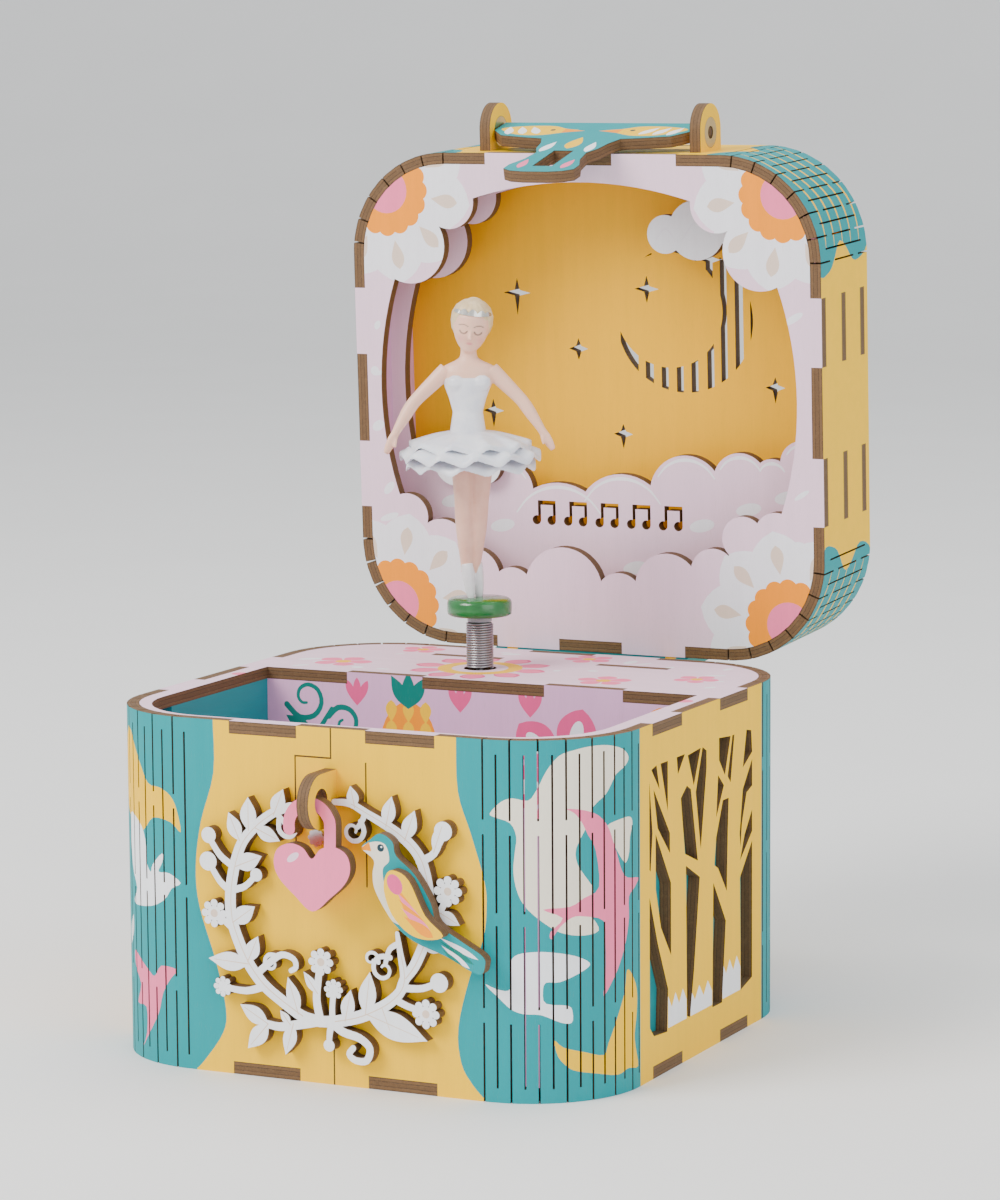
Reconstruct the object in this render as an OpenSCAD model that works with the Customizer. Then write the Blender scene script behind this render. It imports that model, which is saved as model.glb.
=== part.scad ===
// Ballerina jewellery box: laser-cut plywood box with a hinged lid, a musical movement and a turning dancer.
// Millimetres. X to the right, Y to the back, Z up. Origin: middle of the underside of the box.

/* [Box] */
// width of the box, left to right
box_w = 110; // [92:1:132]
// depth of the box, front to back
box_d = 108.4; // [92:1:130]
// height of the box without the lid
box_h = 70.5; // [62:0.5:90]
// outer radius of the four upright corners
corner_r = 22.5; // [18:0.5:26]
// thickness of every plywood sheet
ply = 2.5; // [2.2:0.1:3]
// width of the laser cuts in the bent corners
slit_w = 0.4; // [0.2:0.05:0.6]
// slit columns in each corner
slit_columns = 14; // [10:2:16]

/* [Inside] */
// gap between the left liner and the side wall behind it
liner_gap = 0.7; // [0.3:0.1:6]
// strip of top plate left in front of the compartment
front_strip = 3.4; // [3.3:0.1:6]
// distance of the partition's face behind the middle
partition_y = 10.9; // [4:0.1:16]
// distance of the movement board's face behind the middle
board_y = 39.5; // [36:0.1:44]
// middle of the turning shaft, left (-) or right (+)
shaft_x = -7; // [-16:0.5:16]
// middle of the turning shaft, behind the middle of the box
shaft_y = 26.7; // [22:0.1:32]

/* [Lid] */
// depth of the lid's side wall
lid_depth = 27.1; // [25:0.1:32]
// lean of the open lid over the box, in degrees
lid_lean = 2.6; // [0:0.1:6]
// distance of the hinge pin behind the back wall
hinge_out = 5.6; // [5:0.1:8]
// distance of the hinge pin below the top of the box
hinge_down = 7.7; // [6:0.1:10]
// gap between the closed lid and the box
lid_gap = 0.3; // [0.2:0.05:0.5]
// rim face to the front of the cloud panel
cloud_q = 11.6; // [10:0.1:12.5]
// rim face to the front of the backdrop panel
back_q = 22.6; // [20:0.1:24]
// radius of the hinge pins
pin_r = 1.5; // [1:0.1:2]
// radial play of a turning pin or shaft
run_play = 0.06; // [0.03:0.01:0.1]

/* [Front fittings] */
// distance of the hasp's pivot from the lid's wall
hasp_out = 3.9; // [3.6:0.1:6]
// distance of the hasp's pivot behind the rim face
hasp_q = 10.8; // [9:0.1:13]
// droop of the hasp at rest, in degrees
hasp_droop = 12; // [0:0.5:12]
// reach of the hasp from pivot to tip
hasp_len = 34; // [31:0.5:36]
// distance of the staple's eye from the front wall
staple_out = 6.5; // [6:0.1:8]
// height of the staple's eye
staple_z = 57.2; // [50:0.1:60]
// radius of each lobe of the heart
heart_r = 4.2; // [3:0.1:5]

/* [Dancer] */
// radius of the green stand
disc_r = 6.8; // [5:0.1:7]
// height of the green stand's underside above the top plate
disc_up = 11.3; // [11:0.1:13]
// turn of the dancer at rest, in degrees
dancer_turn = 25.6; // [0:0.2:60]
// outer radius of the coil spring
spring_r = 3.1; // [2.4:0.1:3.3]
// radius of the tutu
tutu_r = 14.4; // [10:0.1:15]

/* [Movement] */
// radius of the pinned cylinder
drum_r = 6; // [4:0.1:6.5]
// radius of the spring case
case_r = 10; // [7:0.5:11]

/* [Hidden] */

$fn = 96;
eps = 0.01;
hw = box_w / 2;
hd = box_d / 2;
inner_r = corner_r - ply;
liner_x = hw - 2 * ply - liner_gap;
hinge_y = hd + hinge_out;
hinge_z = box_h - hinge_down;
lid_turn = 90 - lid_lean;
// the lid's rim corner, first closed and then swung open about the hinge
rim_a = -hinge_out;
rim_b = hinge_down + lid_gap;
rim_y = hinge_y + rim_a * cos(lid_turn) + rim_b * sin(lid_turn);
rim_z = hinge_z - rim_a * sin(lid_turn) + rim_b * cos(lid_turn);
// the hinge pin seen from the lid: depth behind the rim face and height above the lid's lower wall
pin_q = -rim_b;
pin_h = rim_a;

white = [0.93, 0.94, 0.95];
yellow = [0.96, 0.78, 0.36];
teal = [0.22, 0.68, 0.7];
pale_pink = [0.9, 0.84, 0.89];
heart_pink = [0.95, 0.68, 0.77];
gold = [0.87, 0.69, 0.2];
steel = [0.72, 0.73, 0.75];
brass = [0.8, 0.65, 0.35];
skin = [0.98, 0.85, 0.77];
stand_green = [0.18, 0.55, 0.24];
hair = [0.93, 0.85, 0.72];

tab_w = 14.9;
front_tabs = [-14.95, 14.95];
side_tabs = [-17.65, 16.3];
lid_side_tabs = [-17, 17];
tab_spread = box_w / 110;
tab_depth = box_d / 108.4;

// ---------------------------------------------------------------- shared shapes

module round_rect(w, d, r) {
    square([w - 2 * r, d], center = true);
    square([w, d - 2 * r], center = true);
    for (sx = [-1, 1])
        for (sy = [-1, 1])
            translate([sx * (w / 2 - r), sy * (d / 2 - r)])
                circle(r);
}

module sheet_outline(side_list) {
    round_rect(box_w - 2 * ply, box_d - 2 * ply, inner_r);
    for (x = front_tabs)
        translate([x * tab_spread, 0])
            square([tab_w, box_d], center = true);
    for (y = side_list)
        translate([0, y * tab_depth])
            square([box_w, tab_w - 0.3], center = true);
}

module tab_cutter(side_list, h) {
    for (x = front_tabs)
        translate([x * tab_spread - tab_w / 2, -hd - 1, 0])
            cube([tab_w, box_d + 2, h]);
    for (y = side_list)
        translate([-hw - 1, y * tab_depth - (tab_w - 0.3) / 2, 0])
            cube([box_w + 2, tab_w - 0.3, h]);
}

// one column of slits at angle a round a corner; parts are [start, end] as shares of the height
module slit_column(a, parts, h) {
    rotate([0, 0, a])
        for (p = parts)
            translate([corner_r - ply - 0.5, -slit_w / 2, p[0] * h - (p[0] == 0 ? 1 : 0)])
                cube([ply + 1, slit_w, (p[1] - p[0]) * h + (p[0] == 0 ? 1 : 0) + (p[1] == 1 ? 1 : 0)]);
}

module corner_slits(h, odd_parts, even_parts) {
    for (c = [[1, 1, 0], [-1, 1, 90], [-1, -1, 180], [1, -1, 270]])
        translate([c[0] * (hw - corner_r), c[1] * (hd - corner_r), 0])
            for (i = [0 : slit_columns - 1])
                slit_column(c[2] + 90 * i / (slit_columns - 1), i % 2 == 0 ? odd_parts : even_parts, h);
}

module wall_ring(h) {
    linear_extrude(h)
        difference() {
            round_rect(box_w, box_d, corner_r);
            round_rect(box_w - 2 * ply, box_d - 2 * ply, inner_r);
        }
}

// upright lug with a round top and a hole: x is out of the wall, y along it
module lug_2d(out, r, hole, hole_out) {
    difference() {
        union() {
            translate([0, -r])
                square([out, 2 * r]);
            translate([out, 0])
                circle(r);
        }
        translate([hole_out, 0])
            circle(hole);
    }
}

// flat bar from one point to another with round ends
module bar_2d(a, b, w) {
    d = b - a;
    n = norm(d);
    translate(a)
        rotate(atan2(d[1], d[0]))
            translate([0, -w / 2])
                square([n, w]);
    for (p = [a, b])
        translate(p)
            circle(d = w * 1.08, $fn = 32);
}

// pointed leaf from its foot p, pointing along angle a
module leaf_2d(p, a, len, wid) {
    rr = (len * len / 4 + wid * wid / 4) / wid;
    translate(p)
        rotate(a)
            translate([len / 2 - 0.5, 0])
                intersection() {
                    translate([0, rr - wid / 2])
                        circle(rr);
                    translate([0, wid / 2 - rr])
                        circle(rr);
                }
}

module daisy_2d(p, r) {
    translate(p) {
        circle(r * 0.45, $fn = 24);
        for (i = [0 : 7])
            rotate(i * 45)
                translate([r * 0.62, 0])
                    circle(r * 0.27, $fn = 24);
        for (i = [0 : 7])
            rotate(i * 45)
                translate([0, -r * 0.1])
                    square([r * 0.6, r * 0.2]);
    }
}

// a curl: an open ring of bar width w
module curl_2d(p, r, w, a) {
    translate(p)
        rotate(a)
            difference() {
                circle(r);
                circle(r - w);
                translate([0, -r])
                    square([r + 1, r]);
            }
    translate(p)
        rotate(a)
            translate([r - w / 2, 0])
                circle(w * 0.7, $fn = 24);
}

// places flat work drawn as [x, z] on the front wall, from out0 to out1 in front of it
module on_front(out0, out1) {
    translate([0, -hd - out0, 0])
        rotate([90, 0, 0])
            linear_extrude(out1 - out0)
                children();
}

// places parts drawn as [x, q, h] in the open lid
module in_lid() {
    translate([0, rim_y, rim_z])
        rotate([lid_lean, 0, 0])
            children();
}

// places flat work drawn as [x, h] in the open lid, q0 to q1 behind the rim face
module lid_sheet(q0, q1) {
    in_lid()
        translate([0, q1, 0])
            rotate([90, 0, 0])
                linear_extrude(q1 - q0)
                    children();
}

// ---------------------------------------------------------------- box

window_cells = [
    [[-25.5, 61.5], [-23, 62], [-21.5, 57]],
    [[-21, 62], [-17.5, 62], [-17.5, 52]],
    [[-24.5, 57.5], [-16.5, 47.5], [-16.5, 43.5], [-22.5, 49.5]],
    [[-26.5, 59.5], [-25, 49], [-26, 41.5], [-26.5, 42]],
    [[-23.5, 48.5], [-16, 37.5], [-16, 23], [-21, 29.5], [-23.5, 37.5]],
    [[-26.5, 36.5], [-22.5, 26.5], [-17.5, 16.5], [-18, 8], [-24.5, 8.5], [-26.5, 10.5]],
    [[-13, 62], [-9, 62], [-12.5, 58.5]],
    [[-7.5, 61.5], [-1, 62], [-4.5, 55]],
    [[-11, 53.5], [-8, 55.5], [-6, 54.5], [-2.5, 39.5], [-9, 42]],
    [[0, 62], [2, 61], [2, 57.5], [-1, 41.5], [-3.5, 53.5]],
    [[-8.5, 39.5], [-1.5, 36], [-4.5, 17.5], [-6.5, 8.5], [-8, 9]],
    [[8.5, 62.5], [14.5, 62], [11.5, 54.5], [8.5, 58]],
    [[15.5, 62], [16.5, 62], [14.5, 52.5], [13, 54]],
    [[8, 55], [11, 52.5], [7, 46.5]],
    [[10.5, 49.5], [13.5, 49.5], [13, 42], [12.5, 30.5], [8, 36], [6, 37], [7, 42.5]],
    [[5.5, 33.5], [12, 24.5], [10, 8], [5, 8]],
    [[23, 62], [25.5, 61.5], [26, 57], [21, 54.5]],
    [[26, 55.5], [26, 50], [23, 49], [20.5, 43], [19.8, 38.2], [19.3, 41], [21, 50]],
    [[26, 45], [26, 40.5], [19.5, 35.5], [22, 40.5]],
    [[19.5, 32], [26, 38.5], [26, 10], [20, 8.5]]];
key_x = shaft_x - 8;
key_z = 34;
key_hole = 4;

module tree_window() {
    translate([hw - ply - 1, 0, 0])
        rotate([90, 0, 90])
            linear_extrude(ply + 2)
                scale_window();
}

module scale_window() {
    for (c = window_cells)
        polygon([for (p = c) [p[0] * tab_depth, p[1] * box_h / 70.5]]);
}

module seam_grooves() {
    on_front(-0.6, 1) {
        translate([-0.15, box_h - 6])
            square([0.3, 7]);
        translate([-8, box_h - 6.1])
            square([8.15, 0.3]);
        translate([-8, box_h - 32])
            square([0.3, 26]);
        translate([7.6, box_h - 32])
            square([0.3, 25.5]);
        translate([-0.15, -1])
            square([0.3, 9]);
    }
}

module box_wrap() {
    color(yellow)
        difference() {
            wall_ring(box_h);
            corner_slits(box_h, [[0, 0.22], [0.26, 0.74], [0.78, 1]], [[0.04, 0.49], [0.525, 0.96]]);
            translate([0, 0, -eps])
                tab_cutter(side_tabs, ply + eps);
            translate([0, 0, box_h - ply])
                tab_cutter(side_tabs, ply + 1);
            tree_window();
            seam_grooves();
            translate([key_x, hd - ply - 1, key_z])
                rotate([-90, 0, 0])
                    cylinder(r = key_hole, h = ply + 2);
        }
}

module box_floor() {
    color(yellow)
        linear_extrude(ply)
            sheet_outline(side_tabs);
}

module compartment_2d() {
    fr = inner_r - 2;
    front = -hd + front_strip;
    difference() {
        translate([-liner_x, front])
            square([2 * liner_x, partition_y - front]);
        for (s = [-1, 1])
            translate([s * liner_x - fr * (s + 1) / 2, front - 1])
                square([fr, fr + 1]);
    }
    for (s = [-1, 1])
        translate([s * (liner_x - fr), front + fr])
            circle(fr);
}

board_tabs = [-16.7, 22];
board_tab_w = 16.5;
partition_tabs = [-21.5, 24];
partition_tab_w = 17.6;

module box_top_plate() {
    color(pale_pink)
        translate([0, 0, box_h - ply])
            linear_extrude(ply)
                difference() {
                    sheet_outline(side_tabs);
                    compartment_2d();
                    translate([shaft_x, shaft_y])
                        circle(spring_r + 0.4);
                    for (x = partition_tabs)
                        translate([x * tab_spread - partition_tab_w / 2, partition_y - 1])
                            square([partition_tab_w, ply + 1]);
                    for (x = board_tabs)
                        translate([x * tab_spread - board_tab_w / 2, board_y])
                            square([board_tab_w, ply]);
                }
}

module partition() {
    color(pale_pink)
        translate([0, partition_y, 0]) {
            translate([-liner_x - ply, 0, ply])
                cube([2 * (liner_x + ply), ply, box_h - 2 * ply]);
            for (x = partition_tabs)
                translate([x * tab_spread - partition_tab_w / 2, 0, box_h - ply - eps])
                    cube([partition_tab_w, ply, ply + eps]);
        }
}

module movement_board() {
    color(pale_pink)
        translate([0, board_y, 0])
            difference() {
                union() {
                    translate([-hw + corner_r - 6, 0, ply])
                        cube([box_w - 2 * corner_r + 12, ply, box_h - 2 * ply]);
                    for (x = board_tabs)
                        translate([x * tab_spread - board_tab_w / 2, 0, box_h - ply - eps])
                            cube([board_tab_w, ply, ply + eps]);
                }
                translate([key_x, -1, key_z])
                    rotate([-90, 0, 0])
                        cylinder(r = key_hole, h = ply + 2);
            }
}

module liner_left() {
    color(teal)
        translate([-liner_x - ply, -hd + corner_r + 2, ply])
            cube([ply, partition_y + hd - corner_r - 2, box_h - 2 * ply]);
}

module liner_right() {
    color(teal)
        difference() {
            translate([liner_x, -hd + corner_r, ply])
                cube([hw - ply - liner_x, box_d - 2 * corner_r, box_h - 2 * ply]);
            translate([liner_x - 1, partition_y, 0])
                cube([ply + 1, ply, box_h]);
        }
}

// ---------------------------------------------------------------- front ornaments

branches = [
    [[0, 13], [-8, 15.5], 2.4], [[-8, 15.5], [-14, 19.5], 2.4], [[-14, 19.5], [-18, 24.5], 2.4],
    [[-18, 24.5], [-21, 31], 2.4], [[-21, 31], [-22, 38.5], 2.4], [[-22, 38.5], [-19.5, 46], 2.2],
    [[-19.5, 46], [-16, 51.5], 2.2], [[-16, 51.5], [-10, 54.8], 2], [[-10, 54.8], [-6.8, 54.6], 2],
    [[0, 13], [9, 14], 2.4], [[9, 14], [15.5, 17.5], 2.4], [[15.5, 17.5], [17.2, 23], 2.4],
    [[17.2, 23], [17.5, 30], 2.2], [[20.8, 24], [19, 30], 2.2], [[17.2, 19], [20.8, 24], 2],
    [[18, 30], [22, 37], 2.2], [[22, 37], [22.5, 44], 2.2], [[22.5, 44], [19.5, 50], 2.2],
    [[19.5, 50], [13, 53.5], 2.2], [[13, 53.5], [6.5, 57], 2],
    [[-20, 45], [-25.5, 49.5], 1.4], [[-22, 37.5], [-25.8, 42], 1.4], [[-14, 19.5], [-22.5, 18.5], 1.6],
    [[-21.5, 30], [-24.5, 31.5], 1.2], [[-21, 40], [-15.2, 41.8], 1.4], [[22, 44], [25.5, 49.8], 1.8],
    [[20.5, 34], [27, 39.5], 1.4], [[17, 19], [22.5, 19.5], 1.4], [[16, 16.5], [20.5, 13.5], 1.2],
    [[0, 13], [-2, 22.5], 1.6], [[0, 12.5], [1.5, 9.5], 1.6], [[-4, 13], [-13, 11], 1.6],
    [[1, 14], [2, 16.5], 1.2], [[1, 10], [4.8, 8.4], 1.4]];
leaves = [
    [[-18, 48], 115, 8, 4.2], [[-14, 52], 110, 7, 3.6], [[-9, 54.5], 65, 6, 3.4], [[-18.5, 49], -25, 8, 3.8],
    [[-20.5, 43], 15, 7.6, 4.2], [[-20.5, 31], 60, 8.4, 4], [[-19, 26], 178, 7.8, 3.6],
    [[-18.5, 26], 55, 6.4, 3.4], [[-6.5, 15], 110, 7.6, 3], [[-13, 11], 145, 6.8, 3.6],
    [[-13, 11], 240, 7.2, 4], [[-7, 12], 140, 4.6, 2.4], [[-7, 12], 262, 7, 3.2], [[4, 13.6], 80, 6.2, 3],
    [[9.5, 14.5], 88, 9.6, 4], [[9, 13.5], -28, 14, 6], [[17, 30], 10, 8, 3.4], [[9, 55.8], 100, 6.4, 3.6],
    [[13, 53.4], 75, 6.4, 3], [[17.5, 50.5], 70, 7, 3.6], [[22, 47], 60, 8, 3], [[10, 55], 190, 6.5, 2.8]];
berries = [[[-26, 42.4], 1.9], [[-26, 49.6], 1.5], [[-24, 18.8], 1.9], [[25.8, 51.2], 2.2], [[23.8, 20.2], 2],
    [[-15.2, 41.8], 1.3], [[0.4, 9], 1.3]];
daisies = [[[-25, 32.4], 2.9], [[27.2, 40.8], 3.2], [[21.8, 13.6], 3.2], [[-1.9, 23.8], 3], [[2.2, 17.6], 2.2]];
curls = [[[-6.6, 52.6], 2.2, 1, 60], [[5.8, 52], 2.4, 1.1, 100], [[-12.6, 22.4], 2.4, 1.1, 200],
    [[-7.6, 22], 2.2, 1, 340], [[14.3, 22.2], 2.6, 1.1, 140], [[9.8, 25], 1.8, 0.9, 20], [[6.8, 7.2], 2.9, 1.2, 20]];

module wreath() {
    color(white)
        on_front(0, ply) {
            for (b = branches)
                bar_2d(b[0], b[1], b[2]);
            for (l = leaves)
                leaf_2d(l[0], l[1], l[2], l[3]);
            for (b = berries)
                translate(b[0])
                    circle(b[1], $fn = 32);
            for (d = daisies)
                daisy_2d(d[0], d[1]);
            for (c = curls)
                curl_2d(c[0], c[1], c[2], c[3]);
        }
}

module front_flower() {
    color(steel)
        on_front(0, 0.8)
            daisy_2d([-3, 48.9], 2);
}

module staple() {
    color(yellow)
        translate([ply / 2, -hd, staple_z])
            rotate([0, -90, 0])
                rotate([0, 0, -90])
                    linear_extrude(ply)
                        lug_2d(staple_out, 5.4, 2.6, staple_out);
}

bird_outline = [[9.1, 48.6], [10.9, 50.3], [13.1, 51.7], [15.7, 50.3], [16.5, 47.6], [20.4, 44.3], [23.8, 39],
    [25.1, 35.2], [30.3, 32.1], [34.6, 29.7], [35.2, 27.9], [33.7, 26], [26.8, 29], [20.3, 31.2], [15.9, 34.4],
    [12.1, 40.1], [11.4, 43.6], [11.7, 46.4]];
wing_outline = [[15.6, 44.4], [17.3, 45.3], [20.4, 43.6], [23.8, 37.1], [27.6, 33.5], [24.2, 32.4], [20.3, 33.3],
    [16.8, 36.6], [15.1, 41.2]];

module bird_body() {
    color(teal)
        on_front(ply, 2 * ply)
            polygon(bird_outline);
}

module bird_wing() {
    color(yellow)
        on_front(2 * ply, 3 * ply)
            polygon(wing_outline);
}

hook_r = 4.5;
hook_w = 2.5;
hook_x = -0.7;
heart_out = staple_out - ply / 2;

module heart_padlock() {
    hook_z = staple_z - 0.2 - hook_r;
    lobe_z = hook_z - 7.8;
    lobe_x = heart_r - 0.3;
    mid = -0.3;
    color(heart_pink)
        on_front(heart_out, heart_out + ply) {
            difference() {
                translate([hook_x, hook_z])
                    circle(hook_r + hook_w / 2);
                translate([hook_x, hook_z])
                    circle(hook_r - hook_w / 2);
                translate([hook_x - 10, hook_z - 20])
                    square([20, 20]);
            }
            translate([hook_x - hook_r, hook_z])
                circle(hook_w / 2);
            translate([hook_x + hook_r - hook_w / 2, lobe_z])
                square([hook_w, hook_z - lobe_z + eps]);
            for (s = [-1, 1])
                translate([mid + s * lobe_x, lobe_z])
                    circle(heart_r);
            polygon([[mid - lobe_x - heart_r * 0.8, lobe_z - heart_r * 0.6], [mid, lobe_z - heart_r * 2.05],
                     [mid + lobe_x + heart_r * 0.8, lobe_z - heart_r * 0.6], [mid + lobe_x, lobe_z],
                     [mid, lobe_z + 1.4], [mid - lobe_x, lobe_z]]);
        }
}

// ---------------------------------------------------------------- lid hinge

ear_x = 16;
eye_r = 4.3;

module box_ear(s) {
    color(yellow)
        translate([s * ear_x + ply / 2, hd, hinge_z])
            rotate([0, -90, 0])
                rotate([0, 0, 90])
                    linear_extrude(ply)
                        difference() {
                            union() {
                                translate([0, -eye_r])
                                    square([hinge_out, 2 * eye_r]);
                                translate([hinge_out, 0])
                                    circle(eye_r);
                            }
                            translate([hinge_out, 0])
                                circle(pin_r + run_play);
                        }
}

module box_ear_left() {
    box_ear(-1);
}

module box_ear_right() {
    box_ear(1);
}

knuckle_x = ear_x + ply + 0.4;
leaf_q = 17;
leaf_w = 2 * (knuckle_x + 4);

module hinge_leaf() {
    color(teal)
        in_lid()
            difference() {
                translate([-leaf_w / 2, pin_q + 1.6, -ply])
                    cube([leaf_w, leaf_q - pin_q - 1.6, ply]);
                translate([-leaf_w, pin_q - 5, -lid_gap])
                    cube([2 * leaf_w, 5 - pin_q + 0.3, 1]);
                for (s = [-1, 1]) {
                    translate([s * knuckle_x - ply / 2, pin_q - 5, -ply - 1])
                        cube([ply, leaf_q - pin_q - 3 + 5, ply + 2]);
                    translate([s * ear_x - ply / 2 - 0.5, pin_q - 5, -ply - 1])
                        cube([ply + 0.9, eye_r + 5.6, ply + 2]);
                }
            }
}

module lid_knuckle(s) {
    color(yellow)
        in_lid()
            translate([s * knuckle_x + ply / 2, 0, 0])
                rotate([0, -90, 0])
                    linear_extrude(ply)
                        difference() {
                            union() {
                                translate([pin_h, pin_q])
                                    circle(eye_r);
                                polygon([[pin_h - eye_r * 0.75, pin_q + eye_r * 0.65], [-0.4, pin_q + 1.7],
                                         [-0.4, 0.2], [0, 0.4], [0, leaf_q - 3], [-ply, leaf_q - 3]]);
                                polygon([[pin_h, pin_q - eye_r * 0.2], [-0.5, pin_q + 1.7],
                                         [-0.5, pin_q + 5], [pin_h, pin_q + 5]]);
                            }
                            translate([pin_h, pin_q])
                                circle(pin_r);
                            translate([-0.4, pin_q - eye_r - 1])
                                square([5, eye_r + 1.2 - pin_q]);
                        }
}

module lid_knuckle_left() {
    lid_knuckle(-1);
}

module lid_knuckle_right() {
    lid_knuckle(1);
}

module hinge_pin(s) {
    color(steel)
        translate([s * (ear_x - ply / 2 - 0.4), hinge_y, hinge_z])
            rotate([0, s * 90, 0])
                cylinder(r = pin_r, h = knuckle_x - ear_x + ply + 0.8);
}

module hinge_pin_left() {
    hinge_pin(-1);
}

module hinge_pin_right() {
    hinge_pin(1);
}

// ---------------------------------------------------------------- lid

mid_h = box_d / 2;
bump_pairs = [[31.5, 97.8, 6], [41.2, 88.1, 8.4]];
side_arc_r = 75.2;
side_arc_x = 26;
side_arc_h = 56.2;
top_arc_r = 89;
top_arc_h = 13.3;
rim_bumps = [[-43.7, 28.1, 5.05], [-35.3, 21.5, 6.3], [-27.6, 15.5, 6.1], [-18.45, 12.8, 5], [-6.1, 13.5, 9.3],
    [7.2, 12.2, 5.6], [18.6, 15, 7.6], [29.4, 18.9, 5.3], [36.4, 26.6, 4.85], [44, 27.6, 5]];
cloud_bumps = [[-44, 36, 7.5], [-35, 36.4, 6.4], [-25, 32.9, 6.7], [-12.1, 22.2, 12.9], [3.2, 26.2, 11.4],
    [18.5, 33.6, 8.7], [31.2, 36.9, 6.4], [38.6, 38, 4.3], [45.5, 41.4, 5]];
stars = [[-26.2, 75.6, 3.3, 5], [5.2, 77.1, 2.9, 3.1], [-11.5, 63.5, 2.3, 2.5], [-32.8, 49, 2.6, 3.8],
    [-1.1, 44.8, 2.3, 3.3], [35.2, 56.2, 2.3, 3.4], [20.3, 83.8, 2.4, 3]];
moon_bars = [[-1.3, 2.9], [4.6, 6.5], [8.4, 10], [12, 13.6], [15.5, 17.1], [19.3, 20.9], [22.6, 24.1],
    [26, 27.9], [29.6, 30.3]];
notes = [-17.6, -10, -2.4, 5.2, 12.8];

// panel bumps are drawn for the standard lid and keep their distance from its edges
module lid_scaled() {
    translate([0, mid_h])
        scale(min(box_w / 110, box_d / 108.4))
            translate([0, -54.2])
                children();
}

module panel_opening(bumps) {
    difference() {
        intersection() {
            translate([side_arc_x, side_arc_h])
                circle(side_arc_r);
            translate([-side_arc_x, side_arc_h])
                circle(side_arc_r);
            translate([0, top_arc_h])
                circle(top_arc_r);
            translate([-50, 10])
                square([100, 95]);
        }
        for (s = [-1, 1])
            for (b = bump_pairs)
                translate([s * b[0], b[1]])
                    circle(b[2]);
        for (s = [-1, 1])
            polygon([[s * 27, 110], [s * 31.5, 97.8], [s * 41.2, 88.1], [s * 52, 84], [s * 52, 110]]);
        for (b = bumps)
            translate([b[0], b[1]])
                circle(b[2]);
        polygon(concat([[-52, 0], [-52, bumps[0][1]]], [for (b = bumps) [b[0], b[1]]],
                       [[52, bumps[len(bumps) - 1][1]], [52, 0]]));
    }
}

module lid_outline() {
    translate([0, mid_h])
        sheet_outline(lid_side_tabs);
}

module lid_wrap() {
    color(yellow)
        in_lid()
            translate([0, lid_depth, mid_h])
                rotate([90, 0, 0])
                    difference() {
                        wall_ring(lid_depth);
                        corner_slits(lid_depth, [[0, 0.2], [0.3, 0.7], [0.8, 1]], [[0.12, 0.88]]);
                        translate([0, 0, lid_depth - ply])
                            tab_cutter(lid_side_tabs, ply + 1);
                        translate([0, 0, lid_depth - cloud_q - ply])
                            tab_cutter(lid_side_tabs, ply);
                        translate([0, 0, lid_depth - back_q - ply])
                            tab_cutter(lid_side_tabs, ply);
                        for (s = [-1, 1])
                            translate([s * hasp_x - ply / 2, hd - ply - 1, lid_depth - hasp_q - 2])
                                cube([ply, ply + 2, 4]);
                    }
}

module lid_rim_panel() {
    color(pale_pink)
        lid_sheet(0, ply)
            difference() {
                lid_outline();
                lid_scaled()
                    panel_opening(rim_bumps);
            }
}

// a pair of quavers as a generic cut-out
module note_2d(x) {
    for (dx = [0, 3.6]) {
        translate([x + dx, 26.6])
            circle(1.05, $fn = 32);
        translate([x + dx + 0.35, 26.6])
            square([0.7, 4.4]);
    }
    translate([x + 0.35, 30])
        square([4.3, 1]);
}

module lid_cloud_panel() {
    color(pale_pink)
        lid_sheet(cloud_q, cloud_q + ply)
            difference() {
                lid_outline();
                lid_scaled()
                    panel_opening(cloud_bumps);
                lid_scaled()
                    for (x = notes)
                        note_2d(x);
            }
}

module star_2d(x, h, r, down) {
    translate([x, h])
        polygon([[0, r], [0.8, 0.8], [r, 0], [0.8, -0.8], [0, -down], [-0.8, -0.8], [-r, 0], [-0.8, 0.8]]);
}

module moon_2d() {
    intersection() {
        difference() {
            translate([14, 70.7])
                circle(16.2);
            translate([10.4, 72.6])
                circle(12.7);
        }
        for (b = moon_bars)
            translate([b[0], 50])
                square([b[1] - b[0], 36]);
    }
}

module lid_backdrop() {
    color(gold)
        lid_sheet(back_q, back_q + ply)
            difference() {
                lid_outline();
                lid_scaled()
                    for (s = stars)
                        star_2d(s[0], s[1], s[2], s[3]);
                lid_scaled()
                    moon_2d();
            }
}

module lid_cloud_high() {
    color(white)
        lid_sheet(cloud_q + ply, cloud_q + 2 * ply)
            lid_scaled() {
                translate([13.5, 90])
                    circle(4.2);
                translate([20.9, 91])
                    circle(6.5);
                translate([28.5, 93.5])
                    circle(5.5);
            }
}

module lid_cloud_low() {
    color(white)
        lid_sheet(cloud_q - ply, cloud_q)
            lid_scaled() {
                translate([-29.6, 38.9])
                    circle(4.7);
                translate([-36, 39])
                    circle(5.2);
            }
}

// ---------------------------------------------------------------- hasp

// the lugs stand just outside the panels' tabs
lug_gap = 1.1;
hasp_x = front_tabs[1] * tab_spread + tab_w / 2 + lug_gap + ply / 2;
ear_r = 5.6;
ear_hole = 3.3;
bush_r = ear_hole - run_play;
hasp_axis_h = box_d + hasp_out;
hasp_side = hasp_x - ply / 2 - 0.3;

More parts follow.
